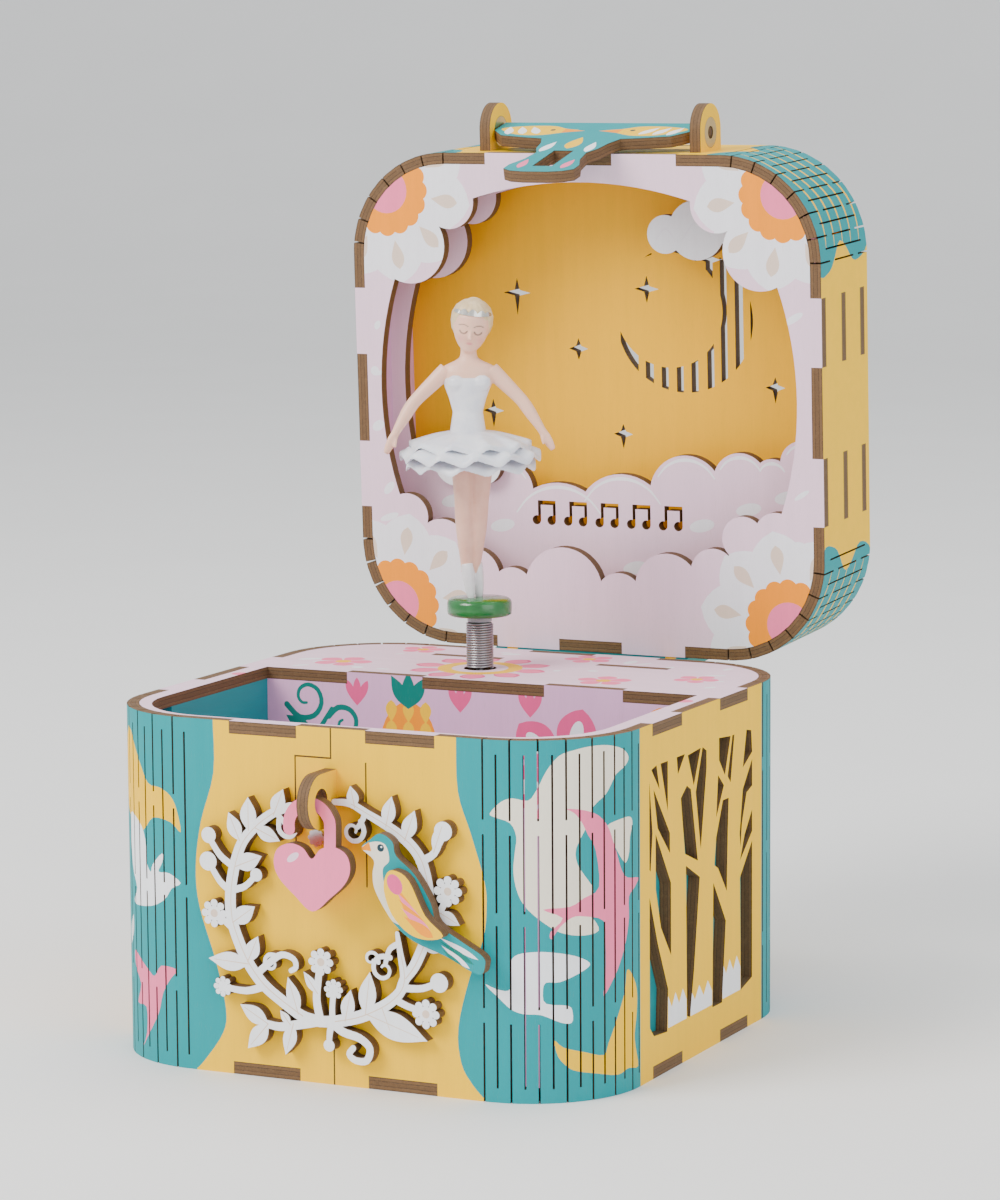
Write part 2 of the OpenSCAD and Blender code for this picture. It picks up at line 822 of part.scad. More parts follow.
module hasp_ear(s) {
    color(yellow)
        in_lid() {
            translate([s * hasp_x + ply / 2, hasp_q, box_d])
                rotate([0, -90, 0])
                    linear_extrude(ply)
                        difference() {
                            union() {
                                translate([0, -ear_r])
                                    square([hasp_out + 0.6, 2 * ear_r]);
                                translate([hasp_out + 0.6, 0])
                                    circle(ear_r);
                            }
                            translate([hasp_out, 0])
                                circle(ear_hole);
                            translate([-ear_r, -ear_r])
                                square([ear_r, 2 * ear_r]);
                        }
            translate([s * hasp_x - ply / 2, hasp_q - 2, box_d - ply])
                cube([ply, 4, ply + eps]);
        }
}

module hasp_ear_left() {
    hasp_ear(-1);
}

module hasp_ear_right() {
    hasp_ear(1);
}

module at_hasp_axis() {
    in_lid()
        translate([0, hasp_q, hasp_axis_h])
            children();
}

trunnion_r = 1.3;

module hasp_pivot(s) {
    color(brass)
        at_hasp_axis()
            translate([s * hasp_x - ply / 2, 0, 0])
                rotate([0, 90, 0])
                    difference() {
                        cylinder(r = bush_r, h = ply);
                        translate([0, 0, -1])
                            cylinder(r = trunnion_r + run_play, h = ply + 2);
                    }
}

module hasp_pivot_left() {
    hasp_pivot(-1);
}

module hasp_pivot_right() {
    hasp_pivot(1);
}

hasp_half = [[1, -2.4], [1, 3.6], [0.86, 7.4], [0.6, 8.8], [0.4, 9.6], [0.34, 13], [0.31, 17], [0.25, 20],
    [0.28, 25], [0.35, 29], [0.35, 32], [0.26, 33.4], [0.12, 34]];

module hasp_plate() {
    right = [for (p = hasp_half) [p[0] * hasp_side, p[1] * hasp_len / 34]];
    left = [for (i = [len(hasp_half) - 1 : -1 : 0]) [-right[i][0], right[i][1]]];
    color(teal)
        at_hasp_axis()
            rotate([hasp_droop, 0, 0]) {
                translate([0, 0, -ply / 2])
                    linear_extrude(ply)
                        difference() {
                            mirror([0, 1])
                                polygon(concat(right, left));
                            translate([-2.3, -30])
                                square([4.6, 11.4]);
                        }
                for (s = [-1, 1])
                    translate([s * (hasp_side - eps), 0, 0])
                        rotate([0, s * 90, 0])
                            cylinder(r = trunnion_r, h = ply + 0.3);
            }
}

// ---------------------------------------------------------------- musical movement

bed_t = 2.5;
drum_z0 = 17;
drum_h = 20;
case_y0 = board_y - 9;

module movement_bed() {
    color(steel)
        difference() {
            union() {
                translate([shaft_x - 26, board_y - bed_t, 10])
                    cube([50, bed_t, 44]);
                translate([shaft_x - 4, shaft_y - 4, 12])
                    cube([8, board_y - bed_t - shaft_y + 4.1, 2]);
                translate([shaft_x - 4, shaft_y - 4, 46])
                    cube([8, board_y - bed_t - shaft_y + 4.1, 2]);
            }
            translate([shaft_x, shaft_y, 11])
                cylinder(r = 1 + run_play, h = 40);
            translate([key_x, board_y - bed_t - 1, key_z])
                rotate([-90, 0, 0])
                    cylinder(r = 2 + run_play, h = bed_t + 2);
        }
}

module music_drum() {
    color(brass)
        difference() {
            union() {
                translate([shaft_x, shaft_y, drum_z0])
                    cylinder(r = drum_r - 0.4, h = drum_h);
                for (i = [0 : 8])
                    for (k = [0 : 6])
                        translate([shaft_x, shaft_y, drum_z0 + 2 + 2 * i])
                            rotate([0, 0, 51 * k + 23 * i])
                                translate([drum_r - 1, -0.2, -0.2])
                                    cube([0.9, 0.4, 0.4]);
                translate([shaft_x, shaft_y, drum_z0 + drum_h + 1])
                    cylinder(r = drum_r, h = 1.4);
                translate([shaft_x, shaft_y, drum_z0 + drum_h - eps])
                    cylinder(r = drum_r - 2, h = 1.1);
            }
            translate([shaft_x, shaft_y, drum_z0 - 1])
                cylinder(r = 1, h = drum_h + 5);
        }
}

module turn_shaft() {
    color(steel)
        translate([shaft_x, shaft_y, 10.5])
            cylinder(r = 1, h = box_h + 1 - 10.5);
}

comb_x = shaft_x + drum_r + 1;
comb_y = board_y - bed_t - 4.5;

module music_comb() {
    color(steel)
        difference() {
            translate([comb_x, shaft_y - 1, drum_z0 - 1])
                cube([14, 1.6, drum_h + 2]);
            for (i = [0 : 9])
                translate([comb_x - 1, shaft_y - 2, drum_z0 + 2 * i])
                    cube([8, 4, 0.5]);
            for (z = [drum_z0 + 4, drum_z0 + drum_h - 4])
                translate([comb_x + 11, shaft_y - 3, z])
                    rotate([-90, 0, 0])
                        cylinder(r = 1.2, h = 8);
        }
    color(steel)
        difference() {
            translate([comb_x + 8.5, shaft_y + 0.6 - eps, drum_z0])
                cube([5, board_y - bed_t - shaft_y - 0.6 + eps, drum_h]);
            for (z = [drum_z0 + 4, drum_z0 + drum_h - 4])
                translate([comb_x + 11, shaft_y - 3, z])
                    rotate([-90, 0, 0])
                        cylinder(r = 1.2, h = 8);
        }
}

module comb_screws() {
    color(brass)
        for (z = [drum_z0 + 4, drum_z0 + drum_h - 4]) {
            translate([comb_x + 11, shaft_y - 2.4, z])
                rotate([-90, 0, 0])
                    cylinder(r = 2, h = 1.4);
            translate([comb_x + 11, shaft_y - 1.1, z])
                rotate([-90, 0, 0])
                    cylinder(r = 1.2, h = 6);
        }
}

module spring_case() {
    color(brass)
        difference() {
            translate([key_x - 2, board_y - bed_t - 1.8, key_z])
                rotate([90, 0, 0])
                    cylinder(r = case_r, h = 2.2);
            translate([key_x, board_y - bed_t - 12, key_z])
                rotate([-90, 0, 0])
                    cylinder(r = 2 + run_play, h = 14);
        }
    color(brass)
        for (s = [-1, 1])
            translate([key_x - 2 + s * 6.5, board_y - bed_t - 1.9, key_z])
                rotate([-90, 0, 0])
                    cylinder(r = 1.2, h = 1.9);
}

module key_shaft() {
    color(steel)
        translate([key_x, board_y - bed_t - 4.2, key_z])
            rotate([-90, 0, 0])
                cylinder(r = 2, h = hd + 7 - board_y + bed_t + 4.2);
}

module winding_key() {
    color(brass)
        difference() {
            union() {
                translate([key_x, hd + 2, key_z])
                    rotate([-90, 0, 0])
                        cylinder(r = 3.4, h = 5.5);
                for (s = [-1, 1])
                    translate([key_x + s * 6.5, hd + 10, key_z - 1])
                        cylinder(r = 5, h = 2);
                translate([key_x - 4, hd + 6, key_z - 1])
                    cube([8, 5, 2]);
            }
            translate([key_x, hd + 1, key_z])
                rotate([-90, 0, 0])
                    cylinder(r = 2, h = 6);
            for (s = [-1, 1])
                translate([key_x + s * 6.5, hd + 10, key_z - 2])
                    cylinder(r = 2.4, h = 4);
        }
}

fan_x = shaft_x + drum_r + 9;
fan_z = drum_z0 + drum_h + 3;

module governor_frame() {
    color(steel)
        difference() {
            union() {
                translate([fan_x - 2.5, shaft_y - 2.5, fan_z - 1])
                    cube([5, board_y - bed_t - shaft_y + 2.5, 1]);
                translate([fan_x - 2.5, shaft_y - 2.5, fan_z + 9])
                    cube([5, board_y - bed_t - shaft_y + 2.5, 1]);
            }
            translate([fan_x, shaft_y, fan_z - 2])
                cylinder(r = 0.6 + run_play, h = 14);
        }
}

module governor() {
    color(brass)
        translate([fan_x, shaft_y, 0]) {
            translate([0, 0, fan_z - 1.4])
                cylinder(r = 0.6, h = 11.8);
            translate([0, 0, fan_z + 1])
                cylinder(r = 1.4, h = 2);
            translate([-3.6, -0.4, fan_z + 4])
                cube([7.2, 0.8, 4]);
        }
}

// ---------------------------------------------------------------- spring and dancer

split_z = box_h + 5.7;
spring_top = box_h + 10;

module spring_lower() {
    color(steel)
        translate([shaft_x, shaft_y, box_h - 1])
            difference() {
                cylinder(r = spring_r, h = split_z - box_h + 1 - 0.15);
                translate([0, 0, -1])
                    cylinder(r = spring_r - 1, h = split_z - box_h + 3);
            }
}

module spring_upper() {
    color(steel)
        translate([shaft_x, shaft_y, split_z + 0.15])
            difference() {
                cylinder(r = spring_r, h = spring_top - split_z - 0.15);
                translate([0, 0, -1])
                    cylinder(r = spring_r - 1, h = spring_top - split_z);
            }
}

module figure_stem() {
    color(steel)
        translate([shaft_x, shaft_y, spring_top])
            cylinder(r = 2.6, h = disc_up - 10 - 0.3);
}

module at_dancer() {
    translate([shaft_x, shaft_y, box_h + disc_up])
        rotate([0, 0, dancer_turn])
            children();
}

disc_t = 3.9;
body_x = -1.8;

module figure_disc() {
    color(stand_green)
        at_dancer()
            rotate_extrude()
                polygon([[0, 0], [disc_r - 1.2, 0], [disc_r, 1.2], [disc_r, disc_t - 0.8], [disc_r - 0.8, disc_t],
                         [0, disc_t]]);
}

module figure_shoes() {
    color(white)
        at_dancer()
            for (s = [-1, 1])
                translate([s * 1.5 - 0.6, -1.2 * s, disc_t]) {
                    cylinder(r1 = 1.5, r2 = 1.75, h = 4);
                    translate([0, 0, 4])
                        sphere(1.75);
                }
}

module figure_legs() {
    color(skin)
        at_dancer() {
            for (s = [-1, 1])
                translate([s * 1.9 + body_x + 0.7, -0.4 * s, disc_t + 5.9])
                    cylinder(r1 = 1.4, r2 = 2.3, h = 19.3);
        }
}

tutu_z = 29.5;

module figure_tutu() {
    color(white)
        at_dancer()
            translate([body_x, 0, tutu_z])
                rotate_extrude()
                    polygon([[0, 1.5], [5, 0.5], [tutu_r - 3, 0], [tutu_r, 4.6], [tutu_r - 0.6, 8.6],
                             [tutu_r - 4, 6], [5.5, 7], [0, 7]]);
}

waist = [[0, 0], [5.6, 0], [4.4, 3.2], [3.6, 6], [3.7, 9], [4.5, 12], [4.3, 14.4], [0, 14.4]];

module figure_bodice() {
    color(white)
        at_dancer()
            translate([body_x - 0.5, 0, tutu_z + 7])
                rotate_extrude()
                    polygon(waist);
}

// tapering limb from point a to point b
module limb(a, b, ra, rb) {
    d = b - a;
    n = norm(d);
    translate(a)
        rotate([0, acos(d[2] / n), atan2(d[1], d[0])])
            cylinder(r1 = ra - 0.1, r2 = rb - 0.1, h = n, $fn = 32);
    translate(a)
        sphere(ra, $fn = 32);
    translate(b)
        sphere(rb, $fn = 32);
}

chest_z = tutu_z + 21.4;

module figure_skin() {
    color(skin)
        at_dancer()
            translate([body_x - 0.4, 0, 0]) {
                translate([0, 0, chest_z])
                    cylinder(r1 = 4.2, r2 = 1.9, h = 3.2);
                translate([0, 0, chest_z + 2])
                    cylinder(r = 1.75, h = 5);
                translate([0.8, -0.3, chest_z + 9.6])
                    sphere(3.9);
                for (s = [-1, 1]) {
                    limb([s * 3.4, 0, chest_z + 2.1], [s * 5.6, 0, chest_z + 1.9], 1.5, 1.6);
                    limb([s * 5.6, 0, chest_z + 1.9], [s * 12, -1, chest_z - 6.4], 1.6, 1.35);
                    limb([s * 12, -1, chest_z - 6.4], [s * 15.8, -2.4, chest_z - 12.6], 1.35, 1.1);
                    limb([s * 15.8, -2.4, chest_z - 12.6], [s * 17, -3, chest_z - 16], 1.1, 0.8);
                }
            }
}

module figure_hair() {
    color(hair)
        at_dancer()
            translate([body_x + 0.4, -0.3, chest_z + 9.6])
                difference() {
                    union() {
                        translate([0, 0.9, 0.7])
                            sphere(4.5);
                        translate([0, 4.6, 2.4])
                            sphere(2.2);
                    }
                    sphere(3.9);
                    translate([-6, -8, -8])
                        cube([12, 6.2, 10]);
                    translate([-6, -4, -8])
                        cube([12, 12, 5]);
                }
}

module figure_tiara() {
    color(steel)
        at_dancer()
            translate([body_x + 0.4, 0.6, chest_z + 10.3])
                rotate([-18, 0, 0])
                    difference() {
                        cylinder(r = 4.95, h = 1.1);
                        translate([0, 0, -1])
                            cylinder(r = 4.52, h = 3);
                        translate([-6, 0, -1])
                            cube([12, 6, 3]);
                    }
}

// ---------------------------------------------------------------- parts list

box_wrap();
box_floor();
box_top_plate();
partition();
movement_board();
liner_left();
liner_right();
wreath();
front_flower();
staple();
bird_body();
bird_wing();
box_ear_left();
box_ear_right();
movement_bed();
music_comb();
comb_screws();
spring_case();
governor_frame();
spring_lower();
lid_wrap();
lid_rim_panel();
lid_cloud_panel();
lid_backdrop();
lid_cloud_high();
lid_cloud_low();
hasp_ear_left();
hasp_ear_right();
hinge_leaf();
lid_knuckle_left();
lid_knuckle_right();
hinge_pin_left();
hinge_pin_right();
hasp_pivot_left();
hasp_pivot_right();
hasp_plate();
heart_padlock();
music_drum();
turn_shaft();
key_shaft();
winding_key();
governor();
spring_upper();
figure_stem();
figure_disc();
figure_shoes();
figure_legs();
figure_tutu();
figure_bodice();
figure_skin();
figure_hair();
figure_tiara();
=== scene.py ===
"""Looks of a ballerina jewellery box: printed, laser-cut plywood, a coil spring and a turning dancer."""

import logging
import math
import random
from collections.abc import Callable
from dataclasses import dataclass, field
from enum import Enum

import bpy
from mathutils import Matrix, Vector
from mathutils.geometry import delaunay_2d_cdt


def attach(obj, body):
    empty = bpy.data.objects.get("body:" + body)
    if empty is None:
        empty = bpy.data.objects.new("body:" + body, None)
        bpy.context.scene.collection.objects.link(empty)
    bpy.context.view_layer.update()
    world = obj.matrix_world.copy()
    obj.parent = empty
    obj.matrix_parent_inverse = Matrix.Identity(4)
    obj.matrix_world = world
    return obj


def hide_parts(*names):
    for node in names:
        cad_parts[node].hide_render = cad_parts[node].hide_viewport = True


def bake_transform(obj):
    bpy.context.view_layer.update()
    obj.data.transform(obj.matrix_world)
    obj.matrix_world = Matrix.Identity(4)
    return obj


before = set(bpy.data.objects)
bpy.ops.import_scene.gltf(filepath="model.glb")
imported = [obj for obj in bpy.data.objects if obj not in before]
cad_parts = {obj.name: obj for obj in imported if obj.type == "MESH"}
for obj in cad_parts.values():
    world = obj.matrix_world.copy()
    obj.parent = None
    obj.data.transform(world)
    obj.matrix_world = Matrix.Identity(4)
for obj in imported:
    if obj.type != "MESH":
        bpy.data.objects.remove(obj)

log = logging.getLogger("jewellery_box")
MM = 0.001
Point = tuple[float, float]
Ring = list[Point]
Place = Callable[[float, float, float], Vector]


class Ink(Enum):
    """Printing inks and paints, in 8-bit display colours."""

    YELLOW = (255, 200, 0)
    TEAL = (0, 146, 152)
    PALE_PINK = (240, 208, 226)
    INSIDE_PINK = (226, 176, 212)
    DEEP_PINK = (232, 84, 140)
    ROSE = (250, 120, 160)
    HEART = (250, 124, 164)
    WHITE = (244, 246, 250)
    CREAM = (242, 234, 214)
    MIST = (240, 240, 246)
    BEIGE = (226, 204, 186)
    ORANGE = (255, 150, 0)
    GOLD = (255, 190, 0)
    SUN = (255, 200, 0)
    LEAF = (0, 120, 108)
    CHAR = (74, 50, 28)
    BARE = (196, 158, 108)
    EYE = (34, 60, 70)

    def linear(self) -> tuple[float, float, float, float]:
        """Returns the ink as linear red, green, blue and alpha."""

        def one(v: float) -> float:
            """Returns one display channel as linear light."""
            v = v / 255
            return v / 12.92 if v <= 0.04045 else ((v + 0.055) / 1.055) ** 2.4

        return (*(one(v) for v in self.value), 1.0)


# ------------------------------------------------------------------------------ shader maths


class Wire:
    """A shader socket that can stand in an arithmetic expression."""

    def __init__(self, look: "Look", socket: bpy.types.NodeSocket) -> None:
        """Keeps the look that owns the socket.

        Args:
            look: the material under construction.
            socket: the output socket.
        """
        self.look = look
        self.socket = socket

    def _math(self, operation: str, first: "Wire | float", second: "Wire | float") -> "Wire":
        """Adds a Math node.

        Args:
            operation: the node's operation.
            first: the first operand.
            second: the second operand.

        Returns:
            The node's output.
        """
        return self.look.node("ShaderNodeMath", {"operation": operation}, {0: first, 1: second})

    def __add__(self, other: "Wire | float") -> "Wire":
        """Returns self + other."""
        return self._math("ADD", self, other)

    def __radd__(self, other: float) -> "Wire":
        """Returns other + self."""
        return self._math("ADD", other, self)

    def __sub__(self, other: "Wire | float") -> "Wire":
        """Returns self - other."""
        return self._math("SUBTRACT", self, other)

    def __rsub__(self, other: float) -> "Wire":
        """Returns other - self."""
        return self._math("SUBTRACT", other, self)

    def __mul__(self, other: "Wire | float") -> "Wire":
        """Returns self * other."""
        return self._math("MULTIPLY", self, other)

    def __rmul__(self, other: float) -> "Wire":
        """Returns other * self."""
        return self._math("MULTIPLY", other, self)

    def __truediv__(self, other: "Wire | float") -> "Wire":
        """Returns self / other."""
        return self._math("DIVIDE", self, other)

    def __pow__(self, other: "Wire | float") -> "Wire":
        """Returns self to the power of other."""
        return self._math("POWER", self, other)

    def off(self, centre: float) -> "Wire":
        """Returns how far self is from centre."""
        return self._math("ABSOLUTE", self - centre, 0.0)

    def between(self, low: float, high: float) -> "Wire":
        """Returns self remapped so that low gives 0 and high gives 1, clamped."""
        made = self.look.node(
            "ShaderNodeMapRange", {"clamp": True}, {0: self, 1: low, 2: high, 3: 0.0, 4: 1.0}
        )
        return made


class Look:
    """A material being made: one Principled surface and the nodes that feed it."""

    def __init__(self, name: str) -> None:
        """Makes the material.

        Args:
            name: the material's name.
        """
        self.material = bpy.data.materials.new(name)
        self.material.use_nodes = True
        self.tree = self.material.node_tree
        self.tree.nodes.clear()
        self.surface = self.tree.nodes.new("ShaderNodeBsdfPrincipled")
        self.end = self.tree.nodes.new("ShaderNodeOutputMaterial")
        self.tree.links.new(self.surface.outputs[0], self.end.inputs[0])

    def node(self, kind: str, settings: dict, values: dict, out: int | str = 0) -> Wire:
        """Adds any node.

        Args:
            kind: the node's type.
            settings: its properties, set first.
            values: socket name or index to a value or a Wire.
            out: the output to hand back.

        Returns:
            That output.
        """
        made = self.tree.nodes.new(kind)
        for key, value in settings.items():
            if key == "stops":
                ramp = made.color_ramp
                while len(ramp.elements) < len(value):
                    ramp.elements.new(0.5)
                for element, (position, colour) in zip(ramp.elements, value):
                    element.position = position
                    element.color = colour
            else:
                setattr(made, key, value)
        for key, value in values.items():
            if isinstance(value, Wire):
                self.tree.links.new(value.socket, made.inputs[key])
            else:
                made.inputs[key].default_value = value
        return Wire(self, made.outputs[out])

    def feed(self, **values: object) -> None:
        """Sets or links the surface's sockets; an underscore in a name stands for a space."""
        for key, value in values.items():
            socket = self.surface.inputs[key.replace("_", " ")]
            if isinstance(value, Wire):
                self.tree.links.new(value.socket, socket)
            else:
                socket.default_value = value

    def place(self) -> Wire:
        """Returns the point on the piece in its own space."""
        return self.node("ShaderNodeTexCoord", {}, {}, "Object")

    def stretch(self, scale: tuple[float, float, float]) -> Wire:
        """Returns the piece's own space stretched by scale."""
        return self.node("ShaderNodeMapping", {}, {"Vector": self.place(), "Scale": scale})

    def noise(self, scale: tuple[float, float, float], size: float, detail: float = 3.0) -> Wire:
        """Returns noise of the given size over stretched space.

        Args:
            scale: stretch of the surface along each axis.
            size: how fine the noise is.
            detail: how many finer layers it has.

        Returns:
            The noise, from 0 to 1.
        """
        return self.node(
            "ShaderNodeTexNoise", {}, {"Vector": self.stretch(scale), "Scale": size, "Detail": detail}
        )

    def mix(self, share: Wire | float, first: object, second: object, blend: str = "MIX") -> Wire:
        """Mixes two colours.

        Args:
            share: how much of the second.
            first: a colour or a Wire.
            second: a colour or a Wire.
            blend: the blend type.

        Returns:
            The mixed colour.
        """
        return self.node(
            "ShaderNodeMix", {"data_type": "RGBA", "blend_type": blend}, {0: share, 6: first, 7: second}, 2
        )

    def bump(self, height: Wire, strength: float, distance: float) -> Wire:
        """Returns normals raised by height; distance is in metres.

        Args:
            height: the signal that raises the surface.
            strength: how strongly it does.
            distance: its depth in metres.

        Returns:
            The bent normals.
        """
        return self.node(
            "ShaderNodeBump", {}, {"Height": height, "Strength": strength, "Distance": distance}
        )


# ------------------------------------------------------------------------------ finishes


@dataclass(frozen=True)
class PrintedPly:
    """Matt ink printed on a plywood face, with the wood's fibres showing through."""

    name: str
    grain: tuple[float, float, float] = (1.0, 1.0, 0.06)
    fibres: float = 0.10
    roughness: float = 0.52

    def make(self) -> bpy.types.Material:
        """Returns the material; the ink comes from the mesh's "ink" colours."""
        look = Look(self.name)
        ink = look.node("ShaderNodeVertexColor", {"layer_name": "ink"}, {})
        fibre = look.noise(self.grain, 2600.0, 4.0)
        broad = look.noise(self.grain, 420.0, 2.0)
        pores = look.noise(tuple(g * 1.6 for g in self.grain), 5200.0, 2.0).between(0.60, 0.74)
        shade = (1.0 - self.fibres) + self.fibres * (0.6 * fibre + 1.0 * broad)
        grey = look.node("ShaderNodeCombineColor", {}, {0: shade, 1: shade, 2: shade})
        printed = look.mix(1.0, ink, grey, "MULTIPLY")
        worn = look.mix(pores * 0.12, printed, (0.30, 0.19, 0.10, 1.0))
        look.feed(
            Base_Color=worn,
            Roughness=self.roughness + 0.12 * (fibre - 0.5) + 0.1 * pores,
            Specular_IOR_Level=0.22,
            Normal=look.bump(fibre * 0.6 + broad * 0.5 - pores * 0.4, 0.35, 0.00006),
        )
        return look.material


@dataclass(frozen=True)
class CharredEdge:
    """A laser-cut plywood edge: glued layers, browned by the cut, sooty at the two faces."""

    name: str
    light: tuple[float, float, float, float] = (0.165, 0.085, 0.030, 1.0)
    dark: tuple[float, float, float, float] = (0.026, 0.013, 0.006, 1.0)

    def make(self) -> bpy.types.Material:
        """Returns the material; "layer" runs from 0 at the printed face to 1 at the back."""
        look = Look(self.name)
        layer = look.node("ShaderNodeAttribute", {"attribute_name": "layer"}, {}, "Fac")
        streak = look.noise((1.0, 1.0, 1.0), 900.0, 5.0)
        fine = look.noise((1.0, 1.0, 1.0), 4200.0, 3.0)
        wander = layer + 0.10 * (streak - 0.5)
        glue = wander.off(0.5)
        rim = glue.between(0.36, 0.50)
        core = 1.0 - glue.between(0.13, 0.20)
        line = glue.between(0.15, 0.175) * (1.0 - glue.between(0.185, 0.22))
        soot = rim * 0.65 + core * 0.20 + line * 0.7 + fine.between(0.45, 0.75) * 0.35
        colour = look.mix(soot.between(0.0, 1.0), self.light, self.dark)
        mottled = look.mix(streak.between(0.55, 0.75) * 0.45, colour, (0.20, 0.11, 0.045, 1.0))
        look.feed(
            Base_Color=mottled,
            Roughness=0.62 + 0.2 * fine,
            Normal=look.bump(streak * 0.7 + fine * 0.6 - line, 0.6, 0.00012),
        )
        return look.material


@dataclass(frozen=True)
class Metal:
    """Drawn or stamped metal with fine marks."""

    name: str
    colour: tuple[float, float, float, float] = (0.62, 0.62, 0.63, 1.0)
    roughness: float = 0.22
    marks: tuple[float, float, float] = (1.0, 1.0, 1.0)

    def make(self) -> bpy.types.Material:
        """Returns the material."""
        look = Look(self.name)
        scratch = look.noise(self.marks, 3200.0, 4.0)
        haze = look.noise((1.0, 1.0, 1.0), 260.0, 3.0)
        dull = tuple(c * 0.72 for c in self.colour[:3]) + (1.0,)
        look.feed(
            Base_Color=look.mix(haze.between(0.35, 0.75) * 0.5, self.colour, dull),
            Metallic=1.0,
            Roughness=self.roughness + 0.16 * (scratch - 0.4) + 0.08 * haze,
            Normal=look.bump(scratch, 0.15, 0.00003),
        )
        return look.material


@dataclass(frozen=True)
class Resin:
    """Cast, painted resin: soft sheen, slight pooling of colour and tiny surface waves."""

    name: str
    colour: tuple[float, float, float, float]
    second: tuple[float, float, float, float]
    roughness: float = 0.35
    glow: float = 0.0
    sparkle: float = 0.0
    coat: float = 0.25

    def make(self) -> bpy.types.Material:
        """Returns the material."""
        look = Look(self.name)
        pool = look.noise((1.0, 1.0, 1.0), 340.0, 3.0)
        fine = look.noise((1.0, 1.0, 1.0), 2400.0, 3.0)
        colour = look.mix(pool.between(0.35, 0.70), self.colour, self.second)
        grain = look.node("ShaderNodeTexVoronoi", {}, {"Vector": look.place(), "Scale": 4200.0})
        glint = (1.0 - grain.between(0.05, 0.22)) * self.sparkle
        look.feed(
            Base_Color=colour,
            Roughness=self.roughness + 0.10 * (fine - 0.5) - 0.2 * glint,
            Metallic=glint * 0.6,
            Coat_Weight=self.coat,
            Coat_Roughness=0.18,
            Subsurface_Weight=self.glow,
            Subsurface_Radius=(0.0022, 0.0012, 0.0008),
            Normal=look.bump(fine * 0.5 + pool, 0.25, 0.00008),
        )
        return look.material


@dataclass(frozen=True)
class PaintedFace:
    """Resin paint that takes its colour from the mesh, for skin with lips and cheeks."""

    name: str

    def make(self) -> bpy.types.Material:
        """Returns the material."""
        look = Look(self.name)
        paint = look.node("ShaderNodeVertexColor", {"layer_name": "ink"}, {})
        fine = look.noise((1.0, 1.0, 1.0), 2600.0, 3.0)
        pool = look.noise((1.0, 1.0, 1.0), 240.0, 2.0)
        rosy = look.mix(pool.between(0.4, 0.7) * 0.25, paint, (0.86, 0.50, 0.40, 1.0))
        look.feed(
            Base_Color=rosy,
            Roughness=0.42 + 0.1 * (fine - 0.5),
            Coat_Weight=0.12,
            Coat_Roughness=0.3,
            Subsurface_Weight=0.18,
            Subsurface_Radius=(0.002, 0.0009, 0.0005),
            Normal=look.bump(fine, 0.2, 0.00004),
        )
        return look.material


# ------------------------------------------------------------------------------ flat drawing


def curve(points: Ring, closed: bool = True, steps: int = 5) -> Ring:
    """Runs a smooth line through points.

    Args:
        points: the points it passes.
        closed: whether it returns to its start.
        steps: points made for each span.

    Returns:
        The smooth line's points.
    """
    n = len(points)
    made: Ring = []
    for i in range(n if closed else n - 1):
        if closed:
            a, b, c, d = (points[(i + k) % n] for k in (-1, 0, 1, 2))
        else:
            a, b, c, d = (points[min(max(i + k, 0), n - 1)] for k in (-1, 0, 1, 2))
        for s in range(steps):
            t = s / steps
            made.append(
                tuple(
                    0.5
                    * (
                        2 * b[k]
                        + (c[k] - a[k]) * t
                        + (2 * a[k] - 5 * b[k] + 4 * c[k] - d[k]) * t * t
                        + (3 * b[k] - a[k] - 3 * c[k] + d[k]) * t * t * t
                    )
                    for k in (0, 1)
                )
            )
    if not closed:
        made.append(points[-1])
    return made


def circle(x: float, y: float, r: float, n: int = 28, ry: float = 0.0, turn: float = 0.0) -> Ring:
    """Returns a circle, or an ellipse of half-width r and half-height ry turned by turn degrees.

    Args:
        x: centre, to the right.
        y: centre, upwards.
        r: half-width.
        n: number of points.
        ry: half-height, or 0 for a round circle.
        turn: turn in degrees.

    Returns:
        The ring of points.
    """
    t = math.radians(turn)
    out: Ring = []
    for i in range(n):
        a = 2 * math.pi * i / n
        u, v = r * math.cos(a), (ry or r) * math.sin(a)
        out.append((x + u * math.cos(t) - v * math.sin(t), y + u * math.sin(t) + v * math.cos(t)))
    return out


def petal(x: float, y: float, angle: float, length: float, width: float, blunt: float = 0.6) -> Ring:
    """Draws a petal or leaf.

    Args:
        x: foot of the petal.
        y: foot of the petal.
        angle: the way it points, in degrees.
        length: foot to tip.
        width: widest part.
        blunt: where the widest part is; 0.5 gives a leaf with two sharp ends.

    Returns:
        Its outline.
    """
    a = math.radians(angle)
    n = 9 if length < 10 else 18
    side: list[Point] = []
    for i in range(n + 1):
        t = i / n
        w = math.sin(math.pi * t ** (math.log(0.5) / math.log(blunt))) ** (0.75 if blunt > 0.5 else 1.1)
        side.append((length * t, width / 2 * w))
    flat = side + [(u, -v) for u, v in reversed(side[1:-1])]
    return [(x + u * math.cos(a) - v * math.sin(a), y + u * math.sin(a) + v * math.cos(a)) for u, v in flat]


